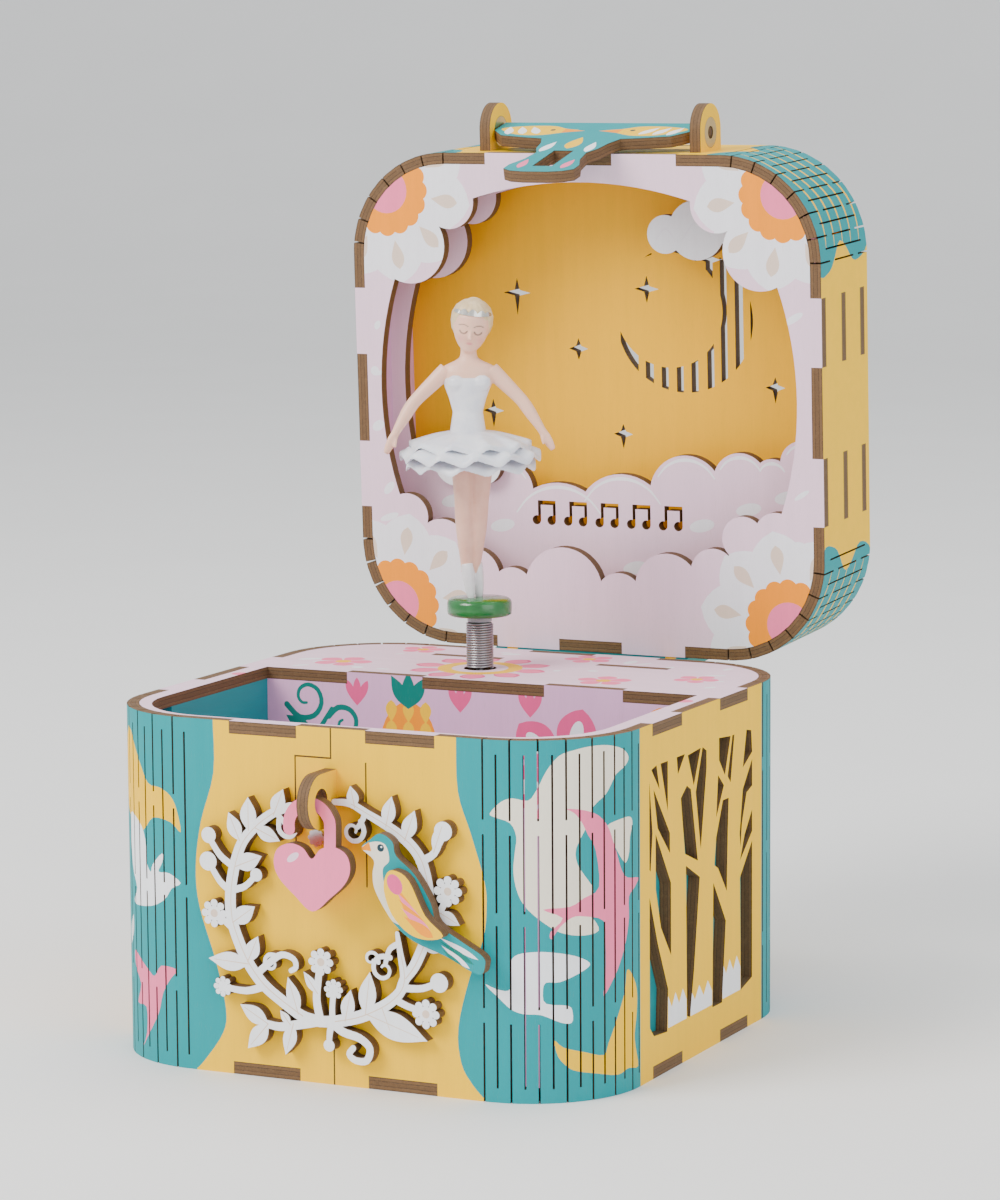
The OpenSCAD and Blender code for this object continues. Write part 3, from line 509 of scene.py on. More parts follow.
def ribbon(points: Ring, widths: list[float], steps: int = 6, rounded: bool = True) -> Ring:
    """Draws a band of changing width along a smooth line.

    Args:
        points: the line.
        widths: the width at each point.
        steps: points made for each span.
        rounded: whether its ends are round.

    Returns:
        The band's outline.
    """
    line = curve(points, closed=False, steps=steps)
    left: Ring = []
    right: Ring = []
    for i, p in enumerate(line):
        t = i / (len(line) - 1) * (len(widths) - 1)
        k = min(int(t), len(widths) - 2)
        w = (widths[k] * (1 - (t - k)) + widths[k + 1] * (t - k)) / 2
        a = line[max(i - 1, 0)]
        b = line[min(i + 1, len(line) - 1)]
        d = math.hypot(b[0] - a[0], b[1] - a[1]) or 1.0
        nx, ny = -(b[1] - a[1]) / d, (b[0] - a[0]) / d
        left.append((p[0] + nx * w, p[1] + ny * w))
        right.append((p[0] - nx * w, p[1] - ny * w))
    if not rounded:
        return left + right[::-1]

    def cap(tip: Point, before: Point, w: float) -> Ring:
        """Returns a round end at tip, for a line that comes from before.

        Args:
            tip: the line's last point.
            before: the point before it.
            w: the width there.

        Returns:
            The round end's points.
        """
        way = math.atan2(tip[1] - before[1], tip[0] - before[0])
        turns = (way + math.radians(t) for t in (60, 30, 0, -30, -60))
        return [(tip[0] + w / 2 * math.cos(a), tip[1] + w / 2 * math.sin(a)) for a in turns]

    return left + cap(line[-1], line[-2], widths[-1]) + right[::-1] + cap(line[0], line[1], widths[0])


def curl(x: float, y: float, r: float, start: float, turns: float, width: float, tip: float = 0.45) -> Ring:
    """Draws a spiral scroll.

    Args:
        x: the spiral's middle.
        y: the spiral's middle.
        r: its outer radius.
        start: the angle of its outer end, in degrees.
        turns: turns inwards; negative turns the other way.
        width: the band's width at the outer end.
        tip: share of the width left at the inner end.

    Returns:
        The band's outline.
    """
    n = 9
    line = []
    for i in range(n + 1):
        t = i / n
        a = math.radians(start) + 2 * math.pi * turns * t
        q = r * (1 - 0.78 * t)
        line.append((x + q * math.cos(a), y + q * math.sin(a)))
    return ribbon(line, [width, width * (1 + tip) / 2, width * tip], steps=3)


@dataclass
class Drawing:
    """Flat shapes of ink, the later ones on top, over one ground."""

    ground: Ink
    shapes: list[tuple[Ring, Ink]] = field(default_factory=list)
    lines: list[tuple[Point, Point]] = field(default_factory=list)

    def add(self, ring: Ring, ink: Ink) -> None:
        """Adds one shape."""
        self.shapes.append((ring, ink))

    def disc(self, x: float, y: float, r: float, ink: Ink) -> None:
        """Adds a disc."""
        self.add(circle(x, y, r), ink)

    def groove(self, x0: float, y0: float, x1: float, y1: float, width: float = 0.32) -> None:
        """Adds a dark seam from one point to another, along x or y.

        Args:
            x0: one end's x.
            y0: one end's y.
            x1: the other end's x.
            y1: the other end's y.
            width: the seam's width.
        """
        h = width / 2
        x0, x1 = min(x0, x1), max(x0, x1)
        y0, y1 = min(y0, y1), max(y0, y1)
        self.add([(x0 - h, y0 - h), (x1 + h, y0 - h), (x1 + h, y1 + h), (x0 - h, y1 + h)], Ink.CHAR)

    def bloom(
        self, x: float, y: float, r: float, petals: int, ink: Ink, heart: Ink, turn: float = 0.0
    ) -> None:
        """Adds a flower of round petals.

        Args:
            x: centre, to the right.
            y: centre, upwards.
            r: radius over the petals.
            petals: number of petals.
            ink: the petals' ink.
            heart: the middle's ink.
            turn: turn in degrees.
        """
        for i in range(petals):
            self.add(petal(x, y, turn + 360 * i / petals, r, r * 0.72, 0.66), ink)
        self.disc(x, y, r * 0.26, heart)


# ------------------------------------------------------------------------------ cut sheets


@dataclass
class Cut:
    """A cut-out: where all the inside rings overlap, less the outside rings."""

    inside: list[Ring]
    outside: list[Ring] = field(default_factory=list)


@dataclass
class CutSheet:
    """A laser-cut sheet: outlines less holes, printed on its face, with layered edges.

    place(u, v, depth) gives the point at u, v on the sheet and depth below its printed face, in millimetres.
    """

    name: str
    outlines: list[Ring]
    cuts: list[Cut]
    art: Drawing
    back: Drawing
    thickness: float
    place: Place
    lines: list[tuple[Point, Point]] = field(default_factory=list)

    def triangles(self) -> tuple[list[Point], list[tuple[tuple[int, ...], Ink, Ink]]]:
        """Returns the flat points and the kept triangles, each with its front and back ink."""
        points: list[Vector] = []
        faces: list[list[int]] = []

        def add(ring: Ring) -> int:
            """Adds a ring, turned anticlockwise, and returns its number.

            Args:
                ring: a closed ring of points.

            Returns:
                The ring's number.
            """
            area = sum(a[0] * b[1] - b[0] * a[1] for a, b in zip(ring, [*ring[1:], ring[0]]))
            ring = ring if area > 0 else ring[::-1]
            faces.append(list(range(len(points), len(points) + len(ring))))
            points.extend(Vector(p) for p in ring)
            return len(faces) - 1

        body = {add(ring) for ring in self.outlines}
        cuts = [({add(r) for r in cut.inside}, {add(r) for r in cut.outside}) for cut in self.cuts]
        front = {add(ring): ink for ring, ink in self.art.shapes}
        rear = {add(ring): ink for ring, ink in self.back.shapes}
        edges: list[tuple[int, int]] = []
        for a, b in self.lines:
            edges.append((len(points), len(points) + 1))
            points.extend((Vector(a), Vector(b)))
        flat, _, tris, _, _, origin = delaunay_2d_cdt(points, edges, faces, 1, 1e-5)
        kept = []
        for tri, origins in zip(tris, origin):
            ids = set(origins)
            if not ids & body or any(inside <= ids and not outside & ids for inside, outside in cuts):
                continue
            face = max(ids & front.keys(), default=None)
            back = max(ids & rear.keys(), default=None)
            kept.append((tuple(tri), front.get(face, self.art.ground), rear.get(back, self.back.ground)))
        return [(p[0], p[1]) for p in flat], kept

    def build(self, face: bpy.types.Material, edge: bpy.types.Material) -> bpy.types.Object:
        """Makes the sheet.

        Args:
            face: the printed finish.
            edge: the cut edge's finish.

        Returns:
            The piece.
        """
        flat, kept = self.triangles()
        used = sorted({i for tri, _, _ in kept for i in tri})
        index = {v: k for k, v in enumerate(used)}
        n = len(used)
        front = [self.place(*flat[i], 0.0) for i in used]
        rear = [self.place(*flat[i], self.thickness) for i in used]
        a, b, c = (front[index[i]] for i in kept[0][0])
        away = front[index[kept[0][0][0]]] - rear[index[kept[0][0][0]]]
        flip = (b - a).cross(c - a).dot(away) < 0
        polys: list[tuple[int, ...]] = []
        inks: list[Ink] = []
        mats: list[int] = []
        seen: dict[tuple[int, int], int] = {}
        for tri, ink, back in kept:
            t = tuple(index[i] for i in (reversed(tri) if flip else tri))
            polys += [t, tuple(i + n for i in reversed(t))]
            inks += [ink, back]
            mats += [0, 0]
            for k in range(len(t)):
                seen[(t[k], t[(k + 1) % len(t)])] = 1
        for p, q in list(seen):
            if (q, p) not in seen:
                polys.append((q, p, p + n, q + n))
                inks.append(Ink.CHAR)
                mats.append(1)
        mesh = bpy.data.meshes.new(self.name)
        mesh.from_pydata([v * MM for v in front + rear], [], polys)
        mesh.materials.append(face)
        mesh.materials.append(edge)
        mesh.polygons.foreach_set("material_index", mats)
        ink_layer = mesh.color_attributes.new("ink", "FLOAT_COLOR", "CORNER")
        colours: list[float] = []
        for poly, ink in zip(mesh.polygons, inks):
            colours.extend(ink.linear() * poly.loop_total)
        ink_layer.data.foreach_set("color", colours)
        depth = mesh.attributes.new("layer", "FLOAT", "POINT")
        depth.data.foreach_set("value", [0.0] * n + [1.0] * n)
        mesh.polygons.foreach_set("use_smooth", [True] * len(mesh.polygons))
        mesh.update()
        mesh.set_sharp_from_angle(angle=math.radians(24))
        made = bpy.data.objects.new(self.name, mesh)
        bpy.context.scene.collection.objects.link(made)
        return made


@dataclass(frozen=True)
class Rounded:
    """A rounded rectangle followed from the middle of its front side, to the right, in millimetres."""

    width: float
    depth: float
    radius: float

    @property
    def length(self) -> float:
        """Returns the way round."""
        return 2 * (self.width + self.depth - 4 * self.radius) + 2 * math.pi * self.radius

    def spans(self) -> list[float]:
        """Returns the lengths of half the front, then corner, right, corner, back, corner, left, corner."""
        w, d = self.width - 2 * self.radius, self.depth - 2 * self.radius
        c = math.pi / 2 * self.radius
        return [w / 2, c, d, c, w, c, d, c, w / 2]

    def corner(self, k: int) -> float:
        """Returns where corner k starts: 0 front right, 1 back right, 2 back left, 3 front left."""
        return sum(self.spans()[: 2 * k + 1])

    def at(self, s: float, inset: float) -> tuple[float, float]:
        """Returns the point at s along the outline, inset from it.

        Args:
            s: distance along the outline.
            inset: distance inwards from it.

        Returns:
            The point, seen from above.
        """
        s = s % self.length
        w, d, r = self.width / 2 - self.radius, self.depth / 2 - self.radius, self.radius
        starts = [
            (0.0, -d - r, 1, 0),
            (w, -d, -90, 1),
            (w + r, -d, 0, 1),
            (w, d, 0, 1),
            (w, d + r, -1, 0),
            (-w, d, 90, 1),
            (-w - r, d, 0, -1),
            (-w, -d, 180, 1),
            (-w, -d - r, 1, 0),
        ]
        for k, span in enumerate(self.spans()):
            if s <= span or k == 8:
                break
            s -= span
        x, y, u, v = starts[k]
        if k % 2:
            a = math.radians(u) + s / r
            return x + (r - inset) * math.cos(a), y + (r - inset) * math.sin(a)
        nx, ny = (v, -u)
        return x + u * s - nx * inset, y + v * s - ny * inset

    def outline(self, inset: float = 0.0, steps: int = 10) -> Ring:
        """Returns the outline's points, inset from it.

        Args:
            inset: distance inwards from the outline.
            steps: points in each corner.

        Returns:
            The closed ring.
        """
        r = self.radius - inset
        out: Ring = []
        corners = ((1, -1, -90), (1, 1, 0), (-1, 1, 90), (-1, -1, 180))
        for sx, sy, start in corners:
            cx, cy = sx * (self.width / 2 - self.radius), sy * (self.depth / 2 - self.radius)
            for i in range(steps + 1):
                a = math.radians(start + 90 * i / steps)
                out.append((cx + r * math.cos(a), cy + r * math.sin(a)))
        return out


def rectangle(x0: float, y0: float, x1: float, y1: float) -> Ring:
    """Returns the four corners of a rectangle."""
    return [(x0, y0), (x1, y0), (x1, y1), (x0, y1)]


def tabbed(shape: Rounded, ply: float, across: list[Point], along: list[Point]) -> list[Ring]:
    """Returns a sheet's outlines: its body inside the wall, and the tabs that go through the wall.

    Args:
        shape: the wall's outer outline.
        ply: the wall's thickness.
        across: start and end of each tab on the front and back.
        along: start and end of each tab on the sides.
    """
    w, d = shape.width / 2, shape.depth / 2
    rings = [shape.outline(ply)]
    rings += [rectangle(a, -d, b, d) for a, b in across]
    rings += [rectangle(-w, a, w, b) for a, b in along]
    return rings


# ------------------------------------------------------------------------------ the shop floor


@dataclass(frozen=True)
class PlainPly:
    """Plywood painted in one ink, with its fibres showing."""

    name: str
    ink: Ink
    grain: tuple[float, float, float] = (1.0, 1.0, 0.06)

    def make(self) -> bpy.types.Material:
        """Returns the material."""
        look = Look(self.name)
        fibre = look.noise(self.grain, 2600.0, 4.0)
        broad = look.noise(self.grain, 420.0, 2.0)
        base = self.ink.linear()
        worn = tuple(0.78 * c for c in base[:3]) + (1.0,)
        look.feed(
            Base_Color=look.mix((0.5 * fibre + 0.6 * broad).between(0.25, 0.85), worn, base),
            Roughness=0.55 + 0.14 * (fibre - 0.5),
            Normal=look.bump(fibre * 0.6 + broad * 0.5, 0.4, 0.00007),
        )
        return look.material


class Workshop:
    """Holds the finishes and hands each piece its body and log line."""

    def __init__(self) -> None:
        """Makes every shared finish."""
        self.upright = PrintedPly("printed_ply_upright").make()
        self.flat = PrintedPly("printed_ply_flat", grain=(0.06, 1.0, 1.0)).make()
        self.edge = CharredEdge("charred_edge").make()
        self.steel = Metal("steel", (0.58, 0.58, 0.60, 1.0), 0.24).make()
        self.dark_steel = Metal("spring_steel", (0.36, 0.36, 0.38, 1.0), 0.28, (1.0, 1.0, 14.0)).make()
        self.brass = Metal("brass", (0.72, 0.50, 0.20, 1.0), 0.26).make()
        self.made = 0

    def hand_over(self, piece: bpy.types.Object, body: str, slot: str, *nodes: str) -> bpy.types.Object:
        """Gives a finished piece to its body.

        Args:
            piece: the piece, in place.
            body: the moving body it goes with.
            slot: not used.
            nodes: the plain solids it stands for.

        Returns:
            The piece.
        """
        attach(piece, body)
        if nodes:
            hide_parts(*nodes)
        self.made += 1
        log.info("%-24s on %-12s %6d faces", piece.name, body, len(piece.data.polygons))
        return piece

    def sheet(
        self, sheet: CutSheet, body: str, slot: str, *nodes: str, flat: bool = False
    ) -> bpy.types.Object:
        """Cuts a sheet and hands it over; flat turns the grain to run along x."""
        piece = sheet.build(self.flat if flat else self.upright, self.edge)
        return self.hand_over(piece, body, slot, *nodes)

    def dress(self, node: str, finish: bpy.types.Material) -> None:
        """Paints a solid that is shown as it is.

        Args:
            node: the name of the solid.
            finish: the material it gets.
        """
        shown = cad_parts[node]
        shown.data.materials.clear()
        shown.data.materials.append(finish)
        log.info("%-24s dressed with %s", node, finish.name)


def solid(
    name: str, points: list[Vector], faces: list[tuple[int, ...]], finish: bpy.types.Material, sharp: float = 40.0
) -> bpy.types.Object:
    """Makes a mesh piece from points in millimetres.

    Args:
        name: the piece's name.
        points: its points in millimetres.
        faces: each face's point numbers.
        finish: its material.
        sharp: the angle in degrees above which an edge stays sharp.

    Returns:
        The mesh object.
    """
    mesh = bpy.data.meshes.new(name)
    mesh.from_pydata([p * MM for p in points], [], faces)
    mesh.materials.append(finish)
    mesh.polygons.foreach_set("use_smooth", [True] * len(mesh.polygons))
    mesh.update()
    mesh.set_sharp_from_angle(angle=math.radians(sharp))
    made = bpy.data.objects.new(name, mesh)
    bpy.context.scene.collection.objects.link(made)
    return made




def tube(
    spine: list[Vector], sizes: list[Point], n: int = 24, side: Vector = Vector((1, 0, 0)), start: int = 0
) -> tuple[list[Vector], list[tuple[int, ...]]]:
    """Sweeps an ellipse along a spine and closes both ends.

    Args:
        spine: middle of each ring.
        sizes: half-width and half-depth of each ring.
        n: points in a ring.
        side: the direction of the half-width.
        start: number of the first point.

    Returns:
        The points and faces.
    """
    points: list[Vector] = []
    faces: list[tuple[int, ...]] = []
    for i, (p, (a, b)) in enumerate(zip(spine, sizes)):
        way = (spine[min(i + 1, len(spine) - 1)] - spine[max(i - 1, 0)]).normalized()
        u = (side - way * side.dot(way)).normalized()
        v = way.cross(u)
        for k in range(n):
            t = 2 * math.pi * k / n
            points.append(p + u * (a * math.cos(t)) + v * (b * math.sin(t)))
    for i in range(len(spine) - 1):
        for k in range(n):
            j = (k + 1) % n
            faces.append(tuple(start + q for q in (i * n + k, i * n + j, (i + 1) * n + j, (i + 1) * n + k)))
    faces.append(tuple(start + k for k in reversed(range(n))))
    faces.append(tuple(start + (len(spine) - 1) * n + k for k in range(n)))
    return points, faces


PLY = 2.5
BOX = Rounded(110.0, 108.4, 22.5)
BOX_H = 70.5
HALF = BOX.depth / 2
SIDE = BOX.spans()[0] + BOX.spans()[1] + BOX.spans()[2] / 2
RIM_Y, RIM_Z, LEAN = 67.538, 68.757, math.radians(2.6)
PARTITION_Y, BOARD_Y, SHAFT = 10.9, 39.5, (-7.0, 26.7)
KEY = (-15.0, 34.0)
KEY_HOLE = 4.0
FRONT_TABS: list[Point] = [(-22.4, -7.5), (7.5, 22.4)]
BOX_SIDE_TABS: list[Point] = [(-24.95, -10.35), (9.0, 23.6)]
LID_SIDE_TABS: list[Point] = [(-24.3, -9.7), (9.7, 24.3)]


def in_lid(x: float, h: float, q: float) -> Vector:
    """Returns a point of the open lid: x across, h up its back, q behind its rim face."""
    c, s = math.cos(LEAN), math.sin(LEAN)
    return Vector((x, RIM_Y + q * c - h * s, RIM_Z + q * s + h * c))


def back_slot(a: float, b: float, low: float, high: float) -> Cut:
    """Returns the slot of the back wall, on the unrolled strip, that faces a front slot.

    Args:
        a: the front slot's left end.
        b: the front slot's right end.
        low: the slot's lower edge.
        high: the slot's upper edge.

    Returns:
        The cut, counted from the strip's nearer end.
    """
    end = math.copysign(BOX.length / 2, a)
    return Cut([rectangle(end - b, low, end - a, high)])


def slits(
    shape: Rounded, height: float, even: list[Point], odd: list[Point]
) -> tuple[list[Cut], list[float]]:
    """Returns the bending slits of four corners, and where the wall bends.

    Args:
        shape: the outline that the strip bends round.
        height: the strip's height.
        even: spans of the even columns, as shares of the height.
        odd: spans of the odd columns.

    Returns:
        The cuts, and the places where the strip bends.
    """
    cuts: list[Cut] = []
    bends: list[float] = []
    step = shape.radius * math.pi / 2 / 13
    for k in range(4):
        first = shape.corner(k)
        for i in range(14):
            s = first + step * i
            s = s - shape.length if s > shape.length / 2 else s
            for a, b in odd if i % 2 else even:
                low = a * height - (1 if a == 0 else 0)
                high = b * height + (1 if b == 1 else 0)
                cuts.append(Cut([rectangle(s - 0.2, low, s + 0.2, high)]))
            if i < 13:
                bends.append(s + step / 2)
    return cuts, bends


class CornerPrint:
    """The flock of birds printed round the corners of the box."""

    right_field: Ring = [
        (27, 70.5), (27.3, 60), (30, 52), (32.8, 43), (33.2, 38), (32.5, 32), (29.5, 24), (27, 14), (27.6, 7), (30, 3),
        (33, 0),
    ]
    left_field: Ring = [
        (26, 70.5), (26, 60), (29, 50), (30.3, 41), (29.6, 33), (26, 22), (24, 13), (24.7, 8), (29, 2), (31, 0),
    ]
    cream_dove: Ring = [
        (34, 56.3), (36.2, 58.6), (38.5, 59.4), (41.5, 59), (43.2, 61.2), (45.1, 64.8), (47.5, 67.5), (50.4, 68.4),
        (54, 68.9), (58, 68.7), (62, 67.5), (63.9, 65.7), (62.9, 64.2), (60.2, 62.9), (58.8, 61.1), (57.3, 59.2),
        (54.5, 57.2), (53.3, 54), (50.8, 49.5), (51, 46.5), (52.4, 44.2), (54.5, 40.8), (52.5, 37.5), (54.5, 35.3),
        (55.6, 33), (52.4, 32.4), (48.5, 33), (45.6, 34.4), (41.3, 37.9), (39.4, 41.1), (38.6, 45.1), (38.9, 49),
        (39.2, 52), (38, 54.6), (35, 55.6),
    ]
    dove_lobe: Ring = [
        (57.5, 53), (61.6, 54), (64.5, 53.9), (65.2, 52.4), (64.3, 50), (64, 47), (62.8, 45.2), (61, 47), (59, 50),
    ]
    swallow: Ring = [
        (48.9, 57.2), (52.4, 56.7), (55.6, 55.4), (57.9, 53), (59.1, 50.3), (60.3, 47.3), (61.6, 44), (63.5, 42.2),
        (67.6, 41.5), (65.9, 39.8), (63.9, 38.4), (63.9, 34.3), (62.9, 30), (61, 25.8), (59.1, 22.9), (56.7, 20.1),
        (57.2, 24.1), (57.2, 30.8), (56.7, 34.8), (52.4, 36.1), (49.9, 36.1), (47.5, 34.4), (45.8, 32.1),
        (45.6, 33.5), (48, 36.1), (44.2, 37.9), (49.4, 38.2), (52.4, 39.7), (55.7, 41.5), (55, 48.6), (53.3, 51.8),
        (51.9, 54.5), (50.4, 56.3),
    ]
    white_dove: Ring = [
        (32.8, 23), (35, 22.3), (37.5, 22.1), (38, 24.1), (38, 27.7), (39.4, 29.2), (42.8, 29.7), (46.1, 29.5),
        (50.4, 28.6), (53.5, 27), (52.5, 25.7), (47.5, 23.7), (44.7, 23.7), (44.1, 21.9), (44.7, 19.6), (49, 19),
        (49.9, 17.6), (49.7, 15.6), (47.5, 15.8), (43.7, 17.4), (40.3, 17.6), (37.9, 18.5), (35.6, 20.5),
    ]
    yellow_bird: Ring = [
        (46.3, 12.3), (48, 10.9), (52.4, 9.6), (56.7, 8.5), (57.9, 10.7), (60.3, 15.4), (62.5, 20.2), (63.2, 24.1),
        (64.9, 23), (66.8, 19.7), (66.8, 15.2), (65.9, 11), (66.3, 8.3), (67.3, 4.3), (63.6, 4.7), (60.3, 4),
        (55, 5.1), (50.9, 6), (49, 6.9), (47, 9.1),
    ]
    high_bird: Ring = [
        (52, 66.7), (46.1, 61), (42.5, 56.5), (38.8, 56), (36, 54.6), (34.5, 52), (33.6, 47.5), (36, 49.3),
        (40.9, 49.7), (44.4, 46.7), (48.5, 47.3), (52, 48.7), (58, 56),
    ]
    middle_bird: Ring = [
        (51.5, 49), (46, 48), (43.8, 45), (43.4, 40.5), (42, 38.6), (41.3, 40.2), (38.4, 42.8), (38.4, 41),
        (39.5, 39), (36.6, 39), (33.8, 37.3), (36, 36), (38, 33.5), (42, 31.7), (48.3, 31), (49.5, 32),
        (47.8, 34.5), (50.5, 39),
    ]
    low_bird: Ring = [
        (49.5, 21.5), (43.8, 18.8), (41.3, 17.6), (39.2, 20), (35, 19.7), (36.6, 17.8), (38.8, 14.5), (40.5, 9.6),
        (46, 2.5), (44.4, 5.5), (44.4, 10.8), (48.3, 11), (46.6, 15), (49.5, 18.4),
    ]

    def flock(
        self, art: Drawing, field_edge: Ring, birds: list[tuple[Ring, Ink]], turn: Callable[[float], float]
    ) -> None:
        """Draws one corner: the teal field, then its birds.

        Args:
            art: the drawing.
            field_edge: the wavy border nearest the middle of the wall.
            birds: outlines and inks.
            turn: where a distance from the front's middle lies for this corner.
        """
        edge = curve(field_edge, closed=False, steps=4)
        edge[0], edge[-1] = (edge[0][0], 73.0), (edge[-1][0], -3.0)
        art.add([(turn(s), z) for s, z in [*edge, (68.5, -3.0), (68.5, 73.0)]], Ink.TEAL)
        for ring, ink in birds:
            art.add([(turn(s), z) for s, z in curve(ring, steps=3)], ink)

    def draw(self, art: Drawing) -> None:
        """Draws all four corners.

        Args:
            art: the drawing that takes them.
        """
        right = [
            (self.cream_dove, Ink.CREAM),
            (self.dove_lobe, Ink.CREAM),
            (self.swallow, Ink.ROSE),
            (self.white_dove, Ink.WHITE),
            (self.yellow_bird, Ink.YELLOW),
        ]
        left = [
            (self.high_bird, Ink.YELLOW),
            (self.middle_bird, Ink.WHITE),
            (petal(50.5, 28.5, -67, 7, 2.6, 0.5), Ink.WHITE),
            (self.low_bird, Ink.ROSE),
        ]
        half = BOX.length / 2
        self.flock(art, self.right_field, right, lambda s: s)
        self.flock(art, self.left_field, left, lambda s: -s)
        self.flock(art, self.left_field, left, lambda s: half - s)
        self.flock(art, self.right_field, right, lambda s: s - half)


@dataclass
class BoxShell:
    """The box: bent wall, floor, top plate and the boards inside."""

    shop: Workshop
    window: list[Ring] = field(
        default_factory=lambda: [
            [(-25.5, 61.5), (-23, 62), (-21.5, 57)],
            [(-21, 62), (-17.5, 62), (-17.5, 52)],
            [(-24.5, 57.5), (-16.5, 47.5), (-16.5, 43.5), (-22.5, 49.5)],
            [(-26.5, 59.5), (-25, 49), (-26, 41.5), (-26.5, 42)],
            [(-23.5, 48.5), (-16, 37.5), (-16, 23), (-21, 29.5), (-23.5, 37.5)],
            [(-26.5, 36.5), (-22.5, 26.5), (-17.5, 16.5), (-18, 8), (-24.5, 8.5), (-26.5, 10.5)],
            [(-13, 62), (-9, 62), (-12.5, 58.5)],
            [(-7.5, 61.5), (-1, 62), (-4.5, 55)],
            [(-11, 53.5), (-8, 55.5), (-6, 54.5), (-2.5, 39.5), (-9, 42)],
            [(0, 62), (2, 61), (2, 57.5), (-1, 41.5), (-3.5, 53.5)],
            [(-8.5, 39.5), (-1.5, 36), (-4.5, 17.5), (-6.5, 8.5), (-8, 9)],
            [(8.5, 62.5), (14.5, 62), (11.5, 54.5), (8.5, 58)],
            [(15.5, 62), (16.5, 62), (14.5, 52.5), (13, 54)],
            [(8, 55), (11, 52.5), (7, 46.5)],
            [(10.5, 49.5), (13.5, 49.5), (13, 42), (12.5, 30.5), (8, 36), (6, 37), (7, 42.5)],
            [(5.5, 33.5), (12, 24.5), (10, 8), (5, 8)],
            [(23, 62), (25.5, 61.5), (26, 57), (21, 54.5)],
            [(26, 55.5), (26, 50), (23, 49), (20.5, 43), (19.8, 38.2), (19.3, 41), (21, 50)],
            [(26, 45), (26, 40.5), (19.5, 35.5), (22, 40.5)],
            [(19.5, 32), (26, 38.5), (26, 10), (20, 8.5)],
        ]
    )

    def wall_art(self) -> Drawing:
        """Returns the print that runs round the wall."""
        art = Drawing(Ink.YELLOW)
        CornerPrint().draw(art)
        for y0, y1, z in ((-17.5, -8.3, 14.0), (-6.2, 4.8, 13.0), (10.3, 19.7, 15.0)):
            snow = [(SIDE + y0, 8.6), (SIDE + y1, 8.6)]
            teeth = 5
            for k in range(teeth + 1):
                y = y1 + (y0 - y1) * k / teeth
                snow.append((SIDE + y, z - 1.5 + (2.6 if k % 2 else 0.0)))
            art.add(snow, Ink.WHITE)
        for cell in self.window:
            art.add([(-SIDE - y, z) for y, z in cell], Ink.ORANGE)
        art.groove(SIDE + 31.5, 0, SIDE + 31.5, BOX_H, 0.25)
        art.groove(0, 64.6, 0, 70.5)
        art.groove(-7.8, 64.6, 0, 64.6)
        art.groove(-7.8, 40, -7.8, 64.6)
        art.groove(7.6, 40, 7.6, 64.1)
        art.groove(0, 0, 0, 8)
        return art

    def wall(self) -> None:
        """Makes the bent wall."""
        cuts, bends = slits(BOX, BOX_H, [(0, 0.22), (0.26, 0.74), (0.78, 1)], [(0.04, 0.49), (0.525, 0.96)])
        half = BOX.length / 2
        for z0, z1 in ((-1.0, PLY), (BOX_H - PLY, BOX_H + 1)):
            for a, b in FRONT_TABS:
                cuts.append(Cut([rectangle(a, z0, b, z1)]))
                cuts.append(back_slot(a, b, z0, z1))
            for a, b in BOX_SIDE_TABS:
                cuts.append(Cut([rectangle(SIDE + a, z0, SIDE + b, z1)]))
                cuts.append(Cut([rectangle(-SIDE - b, z0, -SIDE - a, z1)]))
        cuts += [Cut([[(SIDE + y, z) for y, z in cell]]) for cell in self.window]
        cuts.append(Cut([circle(-half - KEY[0], KEY[1], KEY_HOLE)]))
        sheet = CutSheet(
            "wall",
            [rectangle(-half, 0, half, BOX_H)],
            cuts,
            self.wall_art(),
            Drawing(Ink.INSIDE_PINK),
            PLY,
            lambda s, z, d: Vector((*BOX.at(s, d), z)),
            [((s, -2.0), (s, BOX_H + 2)) for s in bends],
        )
        self.shop.sheet(sheet, "base", "ply_yellow", "box_wrap")

    def floor(self) -> None:
        """Makes the floor, whose tabs show in the wall."""
        rings = tabbed(BOX, PLY, FRONT_TABS, BOX_SIDE_TABS)
        sheet = CutSheet(
            "floor", rings, [], Drawing(Ink.INSIDE_PINK), Drawing(Ink.BARE), PLY, lambda x, y, d: Vector((x, y, PLY - d))
        )
        self.shop.sheet(sheet, "base", "ply_yellow", "box_floor", flat=True)

